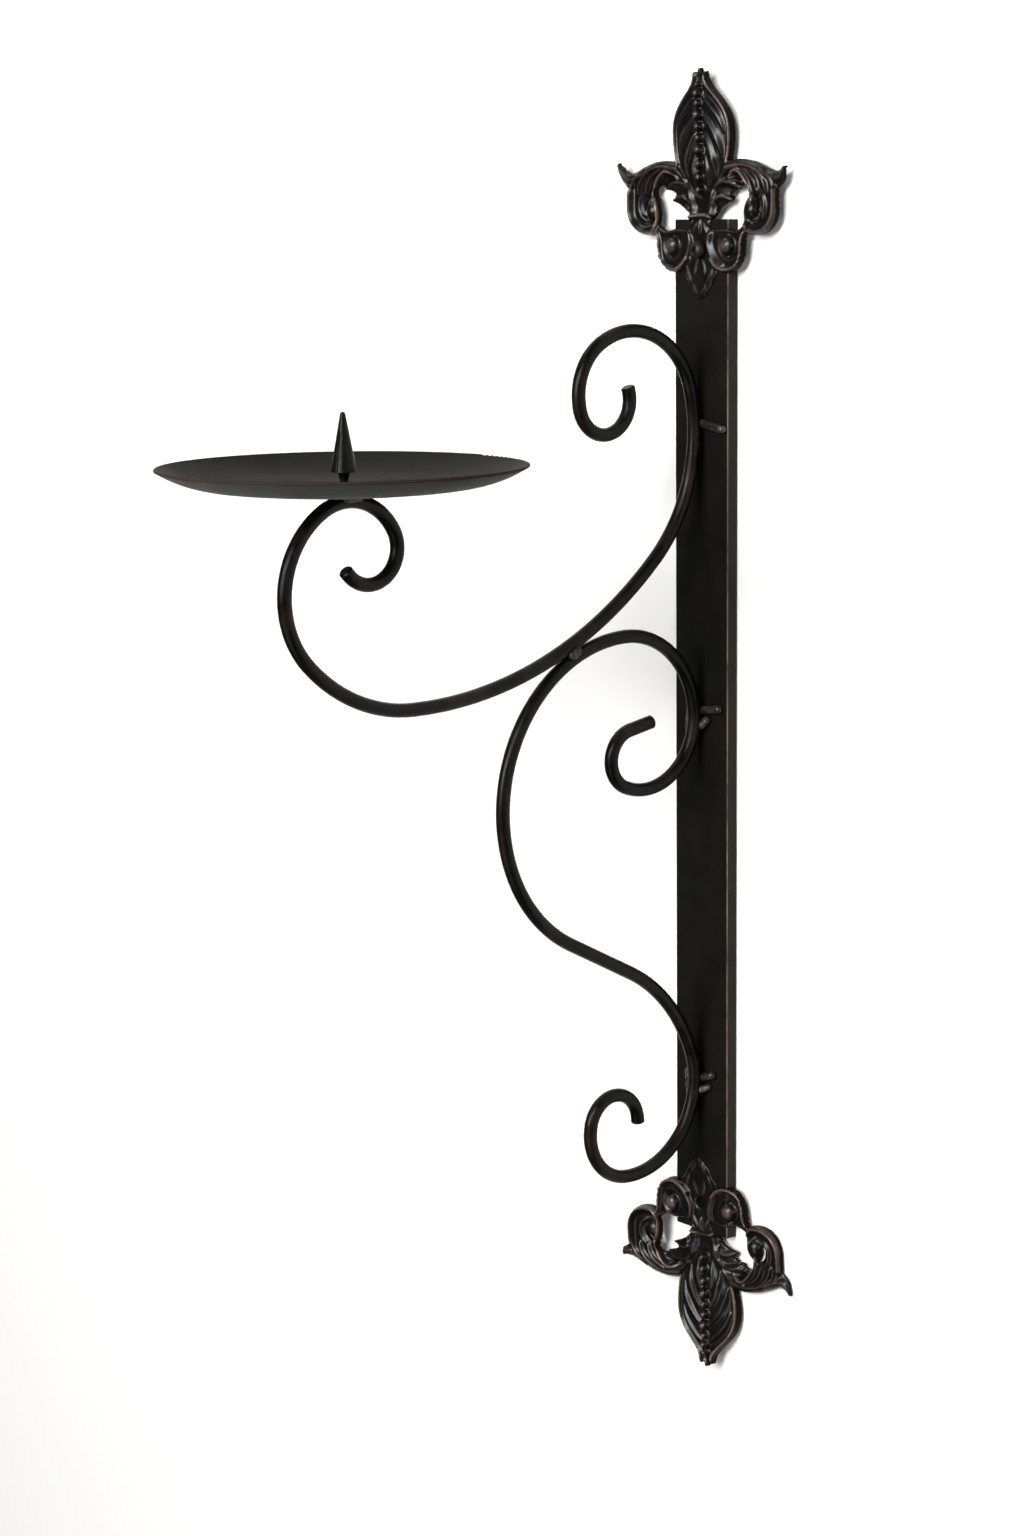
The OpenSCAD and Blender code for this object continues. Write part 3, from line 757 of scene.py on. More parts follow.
@dataclass(frozen=True)
class LilyPattern:
    """The pressing that both lilies come from, given by its right half.

    Across is from its middle line, and up is from its screw hole. Heights stand out from the wall. A pair of
    numbers that changes a height is where the change sets in, and where it is full.
    """

    blank_mm: Point = (143.0, 133.0)
    blank_low_mm: float = 29.0
    cell_mm: float = 0.5
    keep_share: float = 0.45
    sheet_mm: float = 1.3
    hole_r_mm: float = 3.75
    flare: float = 0.12
    turn_mm: float = 0.5
    soften: int = 4
    edge_round_mm: float = 1.1
    edge_drop_mm: float = 0.8
    petal_side: tuple[Point, ...] = ((21.4, 49), (23.0, 56), (24.0, 64), (23.6, 71), (21.6, 77), (18.0, 82.4),
                                     (13.2, 87.4), (9.0, 91.4), (5.9, 95.6), (4.9, 100.3))
    petal_tip: tuple[Point, ...] = ((3.3, 100.7), (1.6, 99.4), (0.9, 101.4), (0, 103))
    petal_foot: tuple[Point, ...] = ((0, 29.5), (5.4, 31), (10.6, 36.4), (16.2, 42.6), (21.4, 49))
    leaf_top: tuple[Point, ...] = ((20.5, 50.4), (31.5, 51.2), (41, 50.1), (48.5, 47.9), (55.5, 45.2),
                                   (60.5, 44), (64.5, 44.8), (67.5, 46.4), (69.8, 48.4))
    leaf_tip: tuple[Point, ...] = ((69.8, 48.4), (69.3, 43.4), (66.6, 38.4), (61.8, 34.4))
    leaf_roll: tuple[Point, ...] = ((61.8, 34.4), (62, 27.6), (61.7, 20.6), (58.8, 14.3), (53.2, 10.2),
                                    (46, 8.6), (39.6, 9.3), (36.8, 12.4), (36, 18), (36, 23), (37.2, 27.3),
                                    (39.8, 30.8))
    leaf_inside: tuple[Point, ...] = ((39.8, 30.8), (40.2, 33.6), (38, 36.2), (34.4, 37), (31.9, 36.4))
    leaflets: tuple[Point, ...] = ((30.8, 34.6), (25.4, 33.8), (22.2, 31.6), (25.6, 28.2), (19.6, 26.4),
                                   (14.6, 24), (10.9, 20))
    crescent: tuple[Point, ...] = ((46.6, 20.6), (48.8, 24.4), (47.9, 28.2), (44.2, 31.2), (42.4, 31),
                                   (44.6, 28), (45.9, 24.8), (46, 21.6))
    lobe_out: tuple[Point, ...] = ((38.4, 11.6), (35.8, 7.4), (35.2, 1), (33.6, -5), (29.4, -10),
                                   (22.6, -12.4), (15.4, -11.4), (10.5, -9))
    lobe_in: tuple[Point, ...] = ((7.5, 12), (14, 11.4), (21, 12), (28, 10.8), (32.4, 12), (36.8, 15.2))
    tongue: tuple[Point, ...] = ((15.2, -9), (14.4, -13.4), (10.8, -17), (9.4, -20.6), (6.4, -23.8),
                                 (3.6, -26.6), (0, -28.3))
    valley: tuple[Point, ...] = ((15, 37), (19, 41.4), (26, 42), (32, 39.6), (36, 36))
    plate_top_mm: float = 20.8
    leaf_mm: float = 7.5
    valley_mm: float = 2.6
    valley_half_mm: float = 1.9
    leaflet_mm: float = 7.2
    leaflet_fall_mm: float = 2.6
    leaflet_fall_across: Point = (14.0, 31.0)
    leaflet_fall_up: Point = (39.0, 35.0)
    leaflet_band_across: Point = (9.0, 13.0)
    leaflet_band_up: Point = (40.5, 38.0)
    leaflet_in_mm: float = 7.0
    leaflet_out_mm: float = 33.0
    neck_mm: float = 1.5
    neck_up_mm: float = 24.6
    neck_half_mm: float = 4.2
    neck_wide_mm: float = 13.0
    petal_mm: float = 6.7
    petal_edge_mm: float = 0.8
    petal_crown_mm: float = 1.7
    petal_crown_band: Point = (3.0, 10.0)
    petal_rise_mm: float = 0.4
    petal_rise_up: Point = (60.0, 100.0)
    groove_mm: float = 1.3
    groove_half_mm: float = 2.9
    plate_mm: float = 8.5
    plate_rise_mm: float = 0.5
    plate_rise_up: Point = (-9.0, -16.0)
    plate_over_mm: float = 0.4
    lobe_mm: float = 8.1
    lobe_band_across: Point = (3.0, 6.0)
    lobe_dish_mm: float = 7.9
    lobe_dish_fall_mm: float = 0.9
    lobe_dish_across: Point = (22.6, 25.0)
    lobe_ball: Boss = Boss((22.9, 2.8), base_mm=8.0, rise_mm=4.1, r_mm=5.3, dish_half_mm=1.5)
    lobe_rub_mm: float = 4.4
    lobe_bare: float = 0.55
    eye: Boss = Boss((41.5, 22.6), base_mm=6.6, rise_mm=3.9, r_mm=4.7, dish_half_mm=2.0, squash=0.88)
    eye_dish_mm: float = 1.7
    eye_dish_across: Point = (38.0, 42.0)
    bead_mm: float = 7.8
    bead_rise_mm: float = 0.6
    bead_rise_up: Point = (40.0, 70.0)
    bead_bulge: float = 1.25
    bead_long: float = 1.02
    bead_bare: float = 0.75
    bead_rub: float = 0.55
    side_back_mm: float = 5.8
    petal_back_mm: float = 3.2
    petal_low_mm: float = 49.5
    hollow_back_mm: float = 3.8
    leaf_hollow: Patch = Patch(31.5, 42.0, 28.5, 38.0)
    leaflet_edge: Patch = Patch(right=31.5, low=18.0, high=38.0)
    tongue_patch: Patch = Patch(right=16.0, high=-8.0)
    hole_rim_mm: float = 6.0
    roll_inside: Patch = Patch(41.9, 50.0, 19.0, 32.0)
    leaf_point: Patch = Patch(left=60.5, low=37.0)
    thin_mm: float = 0.4
    petal_middle_mm: float = 60.0
    lobe_patch: Patch = Patch(right=37.0, high=16.0)
    lobe_middle: Point = (22.0, 1.0)
    leaf_patch: Patch = Patch(left=30.0, high=50.0)
    leaf_middle: Point = (49.0, 23.0)
    beads: tuple[Point, ...] = ((34.2, 2.7), (41.4, 2.8), (49.0, 3.0), (56.8, 3.4), (63.5, 2.9), (69.9, 2.9),
                                (76.6, 3.3), (83.0, 2.5), (88.6, 2.7), (93.6, 1.7))
    petal_rolls: tuple[Roll, ...] = (
        Roll(((4.4, 98), (5.6, 94), (11.4, 88), (16.8, 82.6), (20.8, 76.6), (22.7, 69.8), (22.9, 62),
              (22.1, 55), (20.4, 49.4)), 1.2, 1.7, 1.9, bare=1.0),
        Roll(((3.2, 86.4), (6.4, 84), (11, 79.6), (15, 75), (17.6, 70.5), (18.9, 66.5)), 3.3, 1.2, 1.9, 0.8),
        Roll(((3.4, 76), (5.8, 73.8), (9.6, 69.2), (13.2, 63.8), (16.2, 57.6), (17.4, 51.5)),
             3.3, 1.2, 2.0, 0.8),
        Roll(((3.6, 65.6), (5.6, 63), (8.4, 57.6), (10.5, 51.5), (11.6, 46.5), (11.6, 41.5)),
             3.0, 1.1, 1.9, 0.75, 0.25),
        Roll(((2.4, 56), (4.8, 50.4), (5.9, 44), (5.4, 36)), 1.8, 1.2, 1.0, 0.7))
    leaf_rolls: tuple[Roll, ...] = (
        Roll(((21, 46.8), (31.5, 48.2), (41, 47), (48.5, 44.2), (56, 41.6), (62, 41), (67.6, 44.6)),
             3.2, 2.4, 1.7, bare=0.35),
        Roll(((30.6, 47.2), (22.4, 45.8), (15.6, 40.4), (11.4, 33.4), (8.6, 27), (7.2, 21.6)),
             3.4, 3.6, 1.9, bare=0.1),
        Roll(((33.6, 46.2), (40.4, 42.8), (44.6, 38.4), (46.4, 33.2)), 2.4, 1.5, 2.5, 0.6, 0.2),
        Roll(((40.4, 47), (47.4, 43), (51.8, 38.2), (53.4, 32.6)), 2.5, 1.5, 2.5, 0.6, 0.2),
        Roll(((48.6, 46), (55, 41.6), (58.6, 37.4), (59.8, 32)), 2.5, 1.6, 2.3, 0.4, 0.3),
        Roll(((21.6, 41.4), (25, 43.6), (29.2, 45), (32.6, 43.8), (36.4, 40.2), (39, 36), (40.8, 31.5),
              (41.4, 28)), 1.3, 1.4, 3.0, 0.2, 1.0),
        Roll(((61, 33.6), (61.1, 27), (60.6, 20.8), (57.8, 15.2), (52.6, 11.4), (46, 9.8), (39.9, 10.6),
              (37.4, 13.8)), 1.2, 3.8, 3.4, bare=0.85),
        Roll(((46.4, 34), (51.2, 30.4), (52.6, 24.6), (50.4, 19.4), (45.4, 16.8), (41, 17)),
             1.2, 1.4, 1.7, 0.4),
        Roll(((37.4, 14.6), (37.2, 19), (37.4, 24), (39.4, 28.4)), 1.2, 1.2, 2.2, 0.2, 0.9),
        Roll(((61.4, 39.6), (65.8, 41.4), (69, 46.6)), 2.6, 3.0, 2.2, 0.2, 0.4))
    leaflet_rolls: tuple[Roll, ...] = (
        Roll(((12.5, 36.4), (17, 38.6), (22, 38.6), (26.8, 37), (30.4, 34.9)), 1.3, 3.4, 1.6, 0.3, 0.2),
        Roll(((9, 26.8), (12.6, 29.4), (16, 30.6), (20, 30.2), (24.8, 28.4)), 1.3, 3.2, 1.5, 0.3, 0.3))
    lobe_rolls: tuple[Roll, ...] = (
        Roll(((39.4, 11.6), (36.3, 9.4), (34.7, 5), (34.2, -0.6), (32.5, -5.9), (28.4, -9.6), (21.8, -11.1),
              (15.4, -9.5), (10.6, -5)), 3.2, 1.4, 3.1, bare=1.0),
        Roll(((17.6, -9.6), (12.4, -6.4), (8.8, -1.4), (6.9, 4.2), (8.2, 9.4)), 1.4, 4.4, 2.6, 0.15, 0.3),
        Roll(((15.8, 6), (16, 0), (19.6, -4.4), (25, -5.8), (29.4, -3.4)), 1.0, 1.2, 0.9, 0.5, 0.1),
        Roll(((12, 11.4), (18, 11.6), (24, 10.8), (30, 10.4), (35, 12.4)), 1.5, 1.5, 1.0, 0.2, 0.2))
    plate_rolls: tuple[Roll, ...] = (
        Roll(((-12, 16.4), (-8.6, 18.8), (-3, 20), (3, 20), (8.6, 18.8), (12, 16.4)),
             1.6, 1.0, 2.6, bare=1.0),
        Roll(((0, 17), (0, 12.6), (0, 9.4)), 1.5, 1.5, 1.6, 0.6, 0.3),
        Roll(((2.4, 15.6), (4.6, 12), (6.4, 9)), 1.3, 1.0, 1.2, 0.6, 0.2),
        Roll(((6, 16.6), (9, 13.6), (10.6, 10.8)), 1.3, 1.0, 1.1, 0.6, 0.2),
        Roll(((1.6, -5), (3.6, -9.4), (4.4, -14)), 1.4, 1.4, 0.7, 0.7, 0.15),
        Roll(((11, -9.4), (9.4, -13.4), (6.6, -18.4)), 1.6, 1.6, 0.7, 0.7, 0.2),
        Roll(((5.4, -19), (3.6, -22.6), (1.2, -25)), 1.4, 1.4, 0.6, 0.7, 0.15))

    def outlines(self) -> dict[str, np.ndarray]:
        """Draw the closed outline of each part of the right half.

        Returns:
            The outlines by name, one row for each point.
        """
        curve = smooth_curve
        petal = np.vstack([curve(self.petal_foot), curve(self.petal_side)[1:], np.array(self.petal_tip)])
        leaf = np.vstack([[(0, 20), (0, 50)], curve(self.leaf_top), curve(self.leaf_tip)[1:],
                          curve(self.leaf_roll)[1:], curve(self.leaf_inside)[1:], np.array(self.leaflets)])
        plate = np.vstack([[(0, self.plate_top_mm), (10.5, self.plate_top_mm)], curve(self.lobe_in),
                           curve(self.lobe_out), [(0, -9)]])
        tongue = np.vstack([[(0, -5), (15.2, -5)], np.array(self.tongue)])
        return {"petal": petal, "leaf": leaf, "plate": plate, "tongue": tongue}

    def edge(self, at: np.ndarray) -> tuple[np.ndarray, np.ndarray, dict[str, np.ndarray]]:
        """Measure how far inside the outline each place lies.

        Args:
            at: places as (across, up).

        Returns:
            The depth inside the outline, the nearest place on it, and the depth in each part.
        """
        folded = np.column_stack([np.abs(at[:, 0]), at[:, 1]])
        depth = np.full(len(at), -1e9)
        nearest = folded.copy()
        parts = {}
        for name, outline in self.outlines().items():
            open_line = outline[outline[:, 0] > 1e-6] if name == "leaf" else outline[1:]
            near = nearest_on(open_line, folded)
            signed = np.where(inside(outline, folded), near.distance, -near.distance)
            parts[name] = signed
            deeper = signed > depth
            depth = np.where(deeper, signed, depth)
            nearest[deeper] = near.place[deeper]
        from_hole = np.linalg.norm(folded, axis=1)
        ring = folded / np.maximum(from_hole, 1e-6)[:, None] * self.hole_r_mm
        window = smooth_curve((*self.crescent, self.crescent[0]))
        near = nearest_on(window, folded)
        open_here = np.where(inside(window, folded), -near.distance, near.distance)
        for gap, place in ((from_hole - self.hole_r_mm, ring), (open_here, near.place)):
            closer = gap < depth
            depth = np.where(closer, gap, depth)
            nearest[closer] = place[closer]
        nearest[:, 0] *= np.where(at[:, 0] < 0, -1.0, 1.0)
        return depth, nearest, parts

    def relief(self, at: np.ndarray) -> tuple[np.ndarray, np.ndarray, np.ndarray]:
        """Press the sheet.

        Args:
            at: places as (across, up).

        Returns:
            How far out from the wall the face stands at each place, how far back its edge turns there, and
            how bare the paint is rubbed.
        """
        depth, _, parts = self.edge(at)
        places = Places(np.column_stack([np.abs(at[:, 0]), at[:, 1]]), parts, np.zeros(len(at)))
        in_petal = eased(parts["petal"], 0.0, self.petal_edge_mm)
        petal = self.petal_height(places)
        height = self.leaf_height(places) * (1.0 - in_petal) + petal * in_petal
        in_plate = ((parts["plate"] > 0) | (parts["tongue"] > 0)) & (places.up < self.plate_top_mm)
        plate = self.plate_height(places, in_plate * 1.0)
        height = np.where(in_plate & (parts["leaf"] < self.plate_over_mm), plate, height)
        height = self.round_bosses(height, places)
        height = self.round_beads(height, places)
        inward = np.clip(depth / self.edge_round_mm, 0.0, 1.0)
        height = height - self.edge_drop_mm * (1.0 - rounded(1.0 - inward))
        return height, self.turned_back(height, places), places.bare

    def leaf_height(self, at: Places) -> np.ndarray:
        """Press the leaves, the valley along their upper roll, the leaflets below and the neck between them.

        Args:
            at: the places.

        Returns:
            The height at each.
        """
        in_leaf = at.within("leaf")
        valley = hump(nearest_on(smooth_curve(self.valley), at.half).distance, 0.0, self.valley_half_mm)
        height = self.leaf_mm + at.raised(self.leaf_rolls, in_leaf) - self.valley_mm * valley * in_leaf
        leaflet = at.raised(self.leaflet_rolls, in_leaf * (at.across > self.leaflet_in_mm))
        fall = eased(at.across, *self.leaflet_fall_across) * eased(at.up, *self.leaflet_fall_up)
        leaflet += self.leaflet_mm - self.leaflet_fall_mm * fall
        low = eased(at.up, *self.leaflet_band_up) * eased(at.across, *self.leaflet_band_across)
        low *= (at.across < self.leaflet_out_mm) * in_leaf
        neck = hump(at.up, self.neck_up_mm, self.neck_half_mm) * (at.across < self.neck_wide_mm)
        return height * (1.0 - low) + leaflet * low - self.neck_mm * neck

    def petal_height(self, at: Places) -> np.ndarray:
        """Press the middle petal, with the groove that its beads lie in.

        Args:
            at: the places.

        Returns:
            The height at each.
        """
        height = self.petal_mm + self.petal_crown_mm * eased(at.parts["petal"], *self.petal_crown_band)
        height -= self.groove_mm * hump(at.across, 0.0, self.groove_half_mm)
        height += self.petal_rise_mm * eased(at.up, *self.petal_rise_up)
        return height + at.raised(self.petal_rolls, at.within("petal"))

    def plate_height(self, at: Places, in_plate: np.ndarray) -> np.ndarray:
        """Press the root plate round the screw hole, with its collar, its lobes and its tongue.

        Args:
            at: the places.
            in_plate: 1 on the plate and its tongue, and 0 elsewhere.

        Returns:
            The height at each.
        """
        plate = self.plate_mm + self.plate_rise_mm * eased(at.up, *self.plate_rise_up)
        plate += at.raised(self.plate_rolls, in_plate)
        lobe = at.raised(self.lobe_rolls, at.within("plate")) * eased(at.across, *self.lobe_band_across)
        return np.maximum(plate, self.lobe_mm + lobe)

    def round_bosses(self, height: np.ndarray, at: Places) -> np.ndarray:
        """Sink the dish of each lobe and each leaf's roll, and raise the ball that lies in it.

        Args:
            height: the height so far.
            at: the places.

        Returns:
            The height with the dishes and balls.
        """
        dish = self.lobe_ball.dish(at) * at.within("plate")
        floor = self.lobe_dish_mm - self.lobe_dish_fall_mm * eased(at.across, *self.lobe_dish_across)
        height = height * (1.0 - dish) + floor * dish
        height = np.where(self.lobe_ball.away(at) < self.lobe_ball.r_mm, self.lobe_ball.ball(at), height)
        at.rub(self.lobe_bare * faded(self.lobe_ball.away(at) / self.lobe_rub_mm) ** 0.5)
        dish = self.eye.dish(at) * at.within("leaf") * eased(at.across, *self.eye_dish_across)
        height = height - self.eye_dish_mm * dish
        higher = np.maximum(height, self.eye.ball(at))
        return np.where(self.eye.away(at) < self.eye.r_mm, higher, height)

    def round_beads(self, height: np.ndarray, at: Places) -> np.ndarray:
        """Raise the row of beads along the middle of the petal.

        Args:
            height: the height so far.
            at: the places.

        Returns:
            The height with the beads.
        """
        base = self.bead_mm + self.bead_rise_mm * eased(at.up, *self.bead_rise_up)
        for middle, size in self.beads:
            away = np.hypot(at.across / size, (at.up - middle) / (size * self.bead_long))
            height = np.where(away < 1.0, base + size * self.bead_bulge * rounded(away), height)
            at.rub(self.bead_bare * faded(away / self.bead_rub))
        return height

    def turned_back(self, height: np.ndarray, at: Places) -> np.ndarray:
        """Turn the edge back towards the wall, or leave it thin where it stays free.

        Args:
            height: the height of the face.
            at: the places.

        Returns:
            How far out from the wall the turned-back edge ends at each.
        """
        across, up = at.across, at.up
        thin = height - self.sheet_mm - self.thin_mm
        on_petal = (at.parts["petal"] > at.parts["leaf"]) & (up > self.petal_low_mm)
        on_bar = self.tongue_patch.holds(across, up) | (np.hypot(across, up) < self.hole_rim_mm)
        free = self.roll_inside.holds(across, up) | self.leaf_point.holds(across, up)
        back = np.where(on_petal, self.petal_back_mm, self.side_back_mm)
        back = np.where(self.leaf_hollow.holds(across, up), self.hollow_back_mm, back)
        back = np.where(self.leaflet_edge.holds(across, up), thin, back)
        back = np.where(on_bar, BAR_THICK_MM, back)
        back = np.where(free, thin, back)
        return np.minimum(back, thin)

    def press(self) -> bpy.types.Mesh:
        """Press the sheet flat against the wall, in millimetres, with its back and its turned-back edge.

        Returns:
            The mesh, with how bare each place is and where its walls are.
        """
        bm = self.cut_sheet()
        height, back, bare = self.relief(np.array([v.co[:2] for v in bm.verts]))
        for layer in (RUB, WALL):
            bm.verts.layers.float.new(layer)
        rub = bm.verts.layers.float[RUB]
        for vert, out, amount in zip(bm.verts, height, bare):
            vert.co.z = out
            vert[rub] = amount
        for _ in range(self.soften):
            bmesh.ops.smooth_vert(bm, verts=bm.verts, factor=0.5, use_axis_z=True)
        self.turn_edge(bm, back)
        bmesh.ops.recalc_face_normals(bm, faces=bm.faces)
        self.give_back(bm)
        mesh = bpy.data.meshes.new("pressed_sheet")
        bm.to_mesh(mesh)
        bm.free()
        return mesh

    def cut_sheet(self) -> bmesh.types.BMesh:
        """Cut the flat sheet to its outline, with the screw hole and the windows open.

        Returns:
            The flat sheet.
        """
        bm = bmesh.new()
        wide, tall = self.blank_mm
        columns, rows = round(wide / self.cell_mm), round(tall / self.cell_mm)
        bmesh.ops.create_grid(bm, x_segments=columns, y_segments=rows, size=0.5)
        bmesh.ops.scale(bm, verts=bm.verts, vec=(wide, tall, 1.0))
        bmesh.ops.translate(bm, verts=bm.verts, vec=(0.0, tall / 2 - self.blank_low_mm, 0.0))
        depth, _, _ = self.edge(np.array([v.co[:2] for v in bm.verts]))
        outside = [v for v, inward in zip(bm.verts, depth) if inward < -self.keep_share * self.cell_mm]
        bmesh.ops.delete(bm, geom=outside, context="VERTS")
        bmesh.ops.delete(bm, geom=[v for v in bm.verts if not v.link_faces], context="VERTS")
        border = [v for v in bm.verts if v.is_boundary]
        _, nearest, _ = self.edge(np.array([v.co[:2] for v in border]))
        for vert, foot in zip(border, nearest):
            vert.co.x, vert.co.y = foot
        beside = [v for v in {e.other_vert(v) for v in border for e in v.link_edges} if not v.is_boundary]
        bmesh.ops.smooth_vert(bm, verts=beside, factor=0.5, use_axis_x=True, use_axis_y=True)
        return bm

    def turn_edge(self, bm: bmesh.types.BMesh, back: np.ndarray) -> None:
        """Turn the sheet's edge back: a short square turn, and then a wall that flares towards its end.

        Args:
            bm: the sheet's mesh, without a back.
            back: how far out from the wall the edge ends at each place of the sheet.
        """
        rub, wall = bm.verts.layers.float[RUB], bm.verts.layers.float[WALL]
        ends = {(round(v.co.x, 4), round(v.co.y, 4)): float(end)
                for v, end in zip(bm.verts, back) if v.is_boundary}
        for turn in (True, False):
            made = bmesh.ops.extrude_edge_only(bm, edges=[e for e in bm.edges if e.is_boundary])
            for item in (g for g in made["geom"] if isinstance(g, bmesh.types.BMVert)):
                item[rub], item[wall] = 0.0, 1.0
                if turn:
                    item.co.z -= self.turn_mm
                    continue
                back_to = ends[(round(item.co.x, 4), round(item.co.y, 4))]
                item.co += self.outward(item.co) * (self.flare * (item.co.z - back_to))
                item.co.z = back_to

    def outward(self, place: Vector) -> Vector:
        """Give the direction off the sheet's edge, away from the middle of the part that the place is on.

        Args:
            place: a place on the edge.

        Returns:
            The direction, along the wall.
        """
        middle = (0.0, min(place.y, self.petal_middle_mm))
        if self.lobe_patch.holds(abs(place.x), place.y):
            middle = self.lobe_middle
        elif self.leaf_patch.holds(abs(place.x), place.y):
            middle = self.leaf_middle
        away = place - Vector((math.copysign(middle[0], place.x), middle[1], place.z))
        away.z = 0.0
        return away.normalized()

    def give_back(self, bm: bmesh.types.BMesh) -> None:
        """Give the sheet its thickness, away from its face.

        Args:
            bm: the sheet's mesh, without a back.
        """
        bm.normal_update()
        rub, wall = bm.verts.layers.float[RUB], bm.verts.layers.float[WALL]
        faces, rim = list(bm.faces), [e for e in bm.edges if e.is_boundary]
        backs = {}
        for vert in list(bm.verts):
            backs[vert] = bm.verts.new(vert.co - vert.normal * self.sheet_mm)
            backs[vert][rub], backs[vert][wall] = 0.0, 1.0
        for face in faces:
            bm.faces.new([backs[v] for v in reversed(face.verts)])
        for edge in rim:
            loop = edge.link_loops[0]
            first, second = loop.vert, loop.link_loop_next.vert
            bm.faces.new((second, first, backs[first], backs[second]))


@dataclass(frozen=True)
class LilySeat:
    """How one lily is set on its end of the bar, and how it was bent on the way there.

    The tip is bent out, and each leaf's corner up or down. A band is where a bend sets in, and where it is
    full. What would lie inside the bar goes over its face, with the sheet's back under its front.
    """

    end: End
    lean_deg: float = 0.0
    slope: float = 0.0
    tip_out_mm: float = 0.0
    right_corner_mm: float = 0.0
    left_corner_mm: float = 0.0
    least_mm: float = 0.7
    tip_band_mm: Point = (52.0, 103.0)
    corner_across_mm: Point = (56.0, 70.0)
    corner_up_mm: Point = (34.0, 42.0)
    raised_spread: float = 0.025
    lowered_spread: float = -0.02
    round_bar_mm: float = 0.2
    back_over_mm: float = 0.1
    front_over_mm: float = 0.6

    def place(self) -> Matrix:
        """Put the lily on its end of the bar.

        Returns:
            The turn and shift that do so.
        """
        turned = 0.0 if self.end is End.TOP else 180.0 - self.lean_deg
        height = HOLE_UP_MM if self.end is End.TOP else -HOLE_UP_MM
        upright = Matrix.Rotation(math.radians(90.0), 4, "X")
        return (Matrix.Translation((0.0, 0.0, height * MM)) @ Matrix.Rotation(math.radians(turned), 4, "Y")
                @ upright)

    def build(self, sheet: bpy.types.Mesh, finish: bpy.types.Material) -> bpy.types.Object:
        """Bend the pressed sheet and put it on the bar.

        Args:
            sheet: the pressed sheet, flat.
            finish: its material.

        Returns:
            The lily.
        """
        bm = bmesh.new()
        bm.from_mesh(sheet)
        for vert in bm.verts:
            self.bend(vert.co)
        bmesh.ops.scale(bm, verts=bm.verts, vec=(MM, MM, MM))
        bm.transform(self.place())
        self.rest_on_bar(bm)
        piece = mesh_piece(f"{self.end.value}_pressed", bm, finish)
        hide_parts(self.end.value)
        return piece

    def bend(self, place: Vector) -> None:
        """Bend one place of the sheet.

        Args:
            place: the place, which is changed.
        """
        place.z += self.slope * place.x
        place.z += self.tip_out_mm * share(place.y, *self.tip_band_mm) ** 2
        corner = (share(abs(place.x), *self.corner_across_mm) * share(place.y, *self.corner_up_mm)) ** 2
        turn = self.right_corner_mm if place.x > 0 else self.left_corner_mm
        spread = self.raised_spread if turn > 0 else self.lowered_spread
        place.y += turn * corner
        place.x *= 1.0 + spread * corner
        place.z = max(place.z, self.least_mm)

    def rest_on_bar(self, bm: bmesh.types.BMesh) -> None:
        """Lift what would lie inside the back bar onto its face.

        Args:
            bm: the lily's mesh, in its place.
        """
        half = (BAR_WIDE_MM / 2 + self.round_bar_mm) * MM
        end = (HOLE_UP_MM + BAR_END_MM + self.round_bar_mm) * MM
        wall = bm.verts.layers.float[WALL]
        for vert in bm.verts:
            over = self.back_over_mm if vert[wall] > 0.5 else self.front_over_mm
            face = -(BAR_THICK_MM + over) * MM
            if abs(vert.co.x) < half and abs(vert.co.z) < end and vert.co.y > face:
                vert.co.y = face


# Welds and screw


@dataclass
class WeldBeads:
    """Lumpy weld beads, laid over the plain ones of the model.

    The lumps are noise with a number of octaves, each a step finer than the last and weaker by the fall.
    """

    node: str
    seed: float = 0.0
    voxel_mm: float = 0.35
    lump_mm: float = 0.45
    lumps_per_mm: float = 0.42
    fall: float = 1.0
    step: float = 2.0
    octaves: int = 3
    sink_mm: float = 0.1
    smooth: float = 0.4

    def build(self, source: bpy.types.Object, finish: bpy.types.Material) -> bpy.types.Object:
        """Make the beads.

        Args:
            source: the model's own beads.
            finish: their material.

        Returns:
            The lumpy beads.
        """
        bm = bmesh.new()
        bm.from_mesh(source.data)
        bmesh.ops.remove_doubles(bm, verts=bm.verts, dist=1e-6)
        piece = mesh_piece(f"{self.node}_lumpy", bm, finish)
        remesh = piece.modifiers.new("even", "REMESH")
        remesh.mode = "VOXEL"
        remesh.voxel_size = self.voxel_mm * MM
        remesh.use_smooth_shade = True
        apply_modifiers(piece)
        bm = bmesh.new()
        bm.from_mesh(piece.data)
        bm.normal_update()
        for vert in bm.verts:
            spot = vert.co / MM * self.lumps_per_mm + Vector((self.seed, 0.0, 0.0))
            lump = noise.fractal(spot, self.fall, self.step, self.octaves)
            vert.co += vert.normal * (self.lump_mm * lump - self.sink_mm) * MM
        bmesh.ops.smooth_vert(bm, verts=bm.verts, factor=self.smooth, use_axis_x=True, use_axis_y=True,
                              use_axis_z=True)
        bm.to_mesh(piece.data)
        bm.free()
        shade(piece.data, smooth=True)
        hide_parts(self.node)
        return piece


def apply_modifiers(piece: bpy.types.Object) -> None:
    """Replace a piece's mesh by what its modifiers make of it.

    Args:
        piece: the piece, which keeps no modifier.
    """
    bpy.context.view_layer.update()
    graph = bpy.context.evaluated_depsgraph_get()
    mesh = bpy.data.meshes.new_from_object(piece.evaluated_get(graph))
    piece.modifiers.clear()
    piece.data = mesh


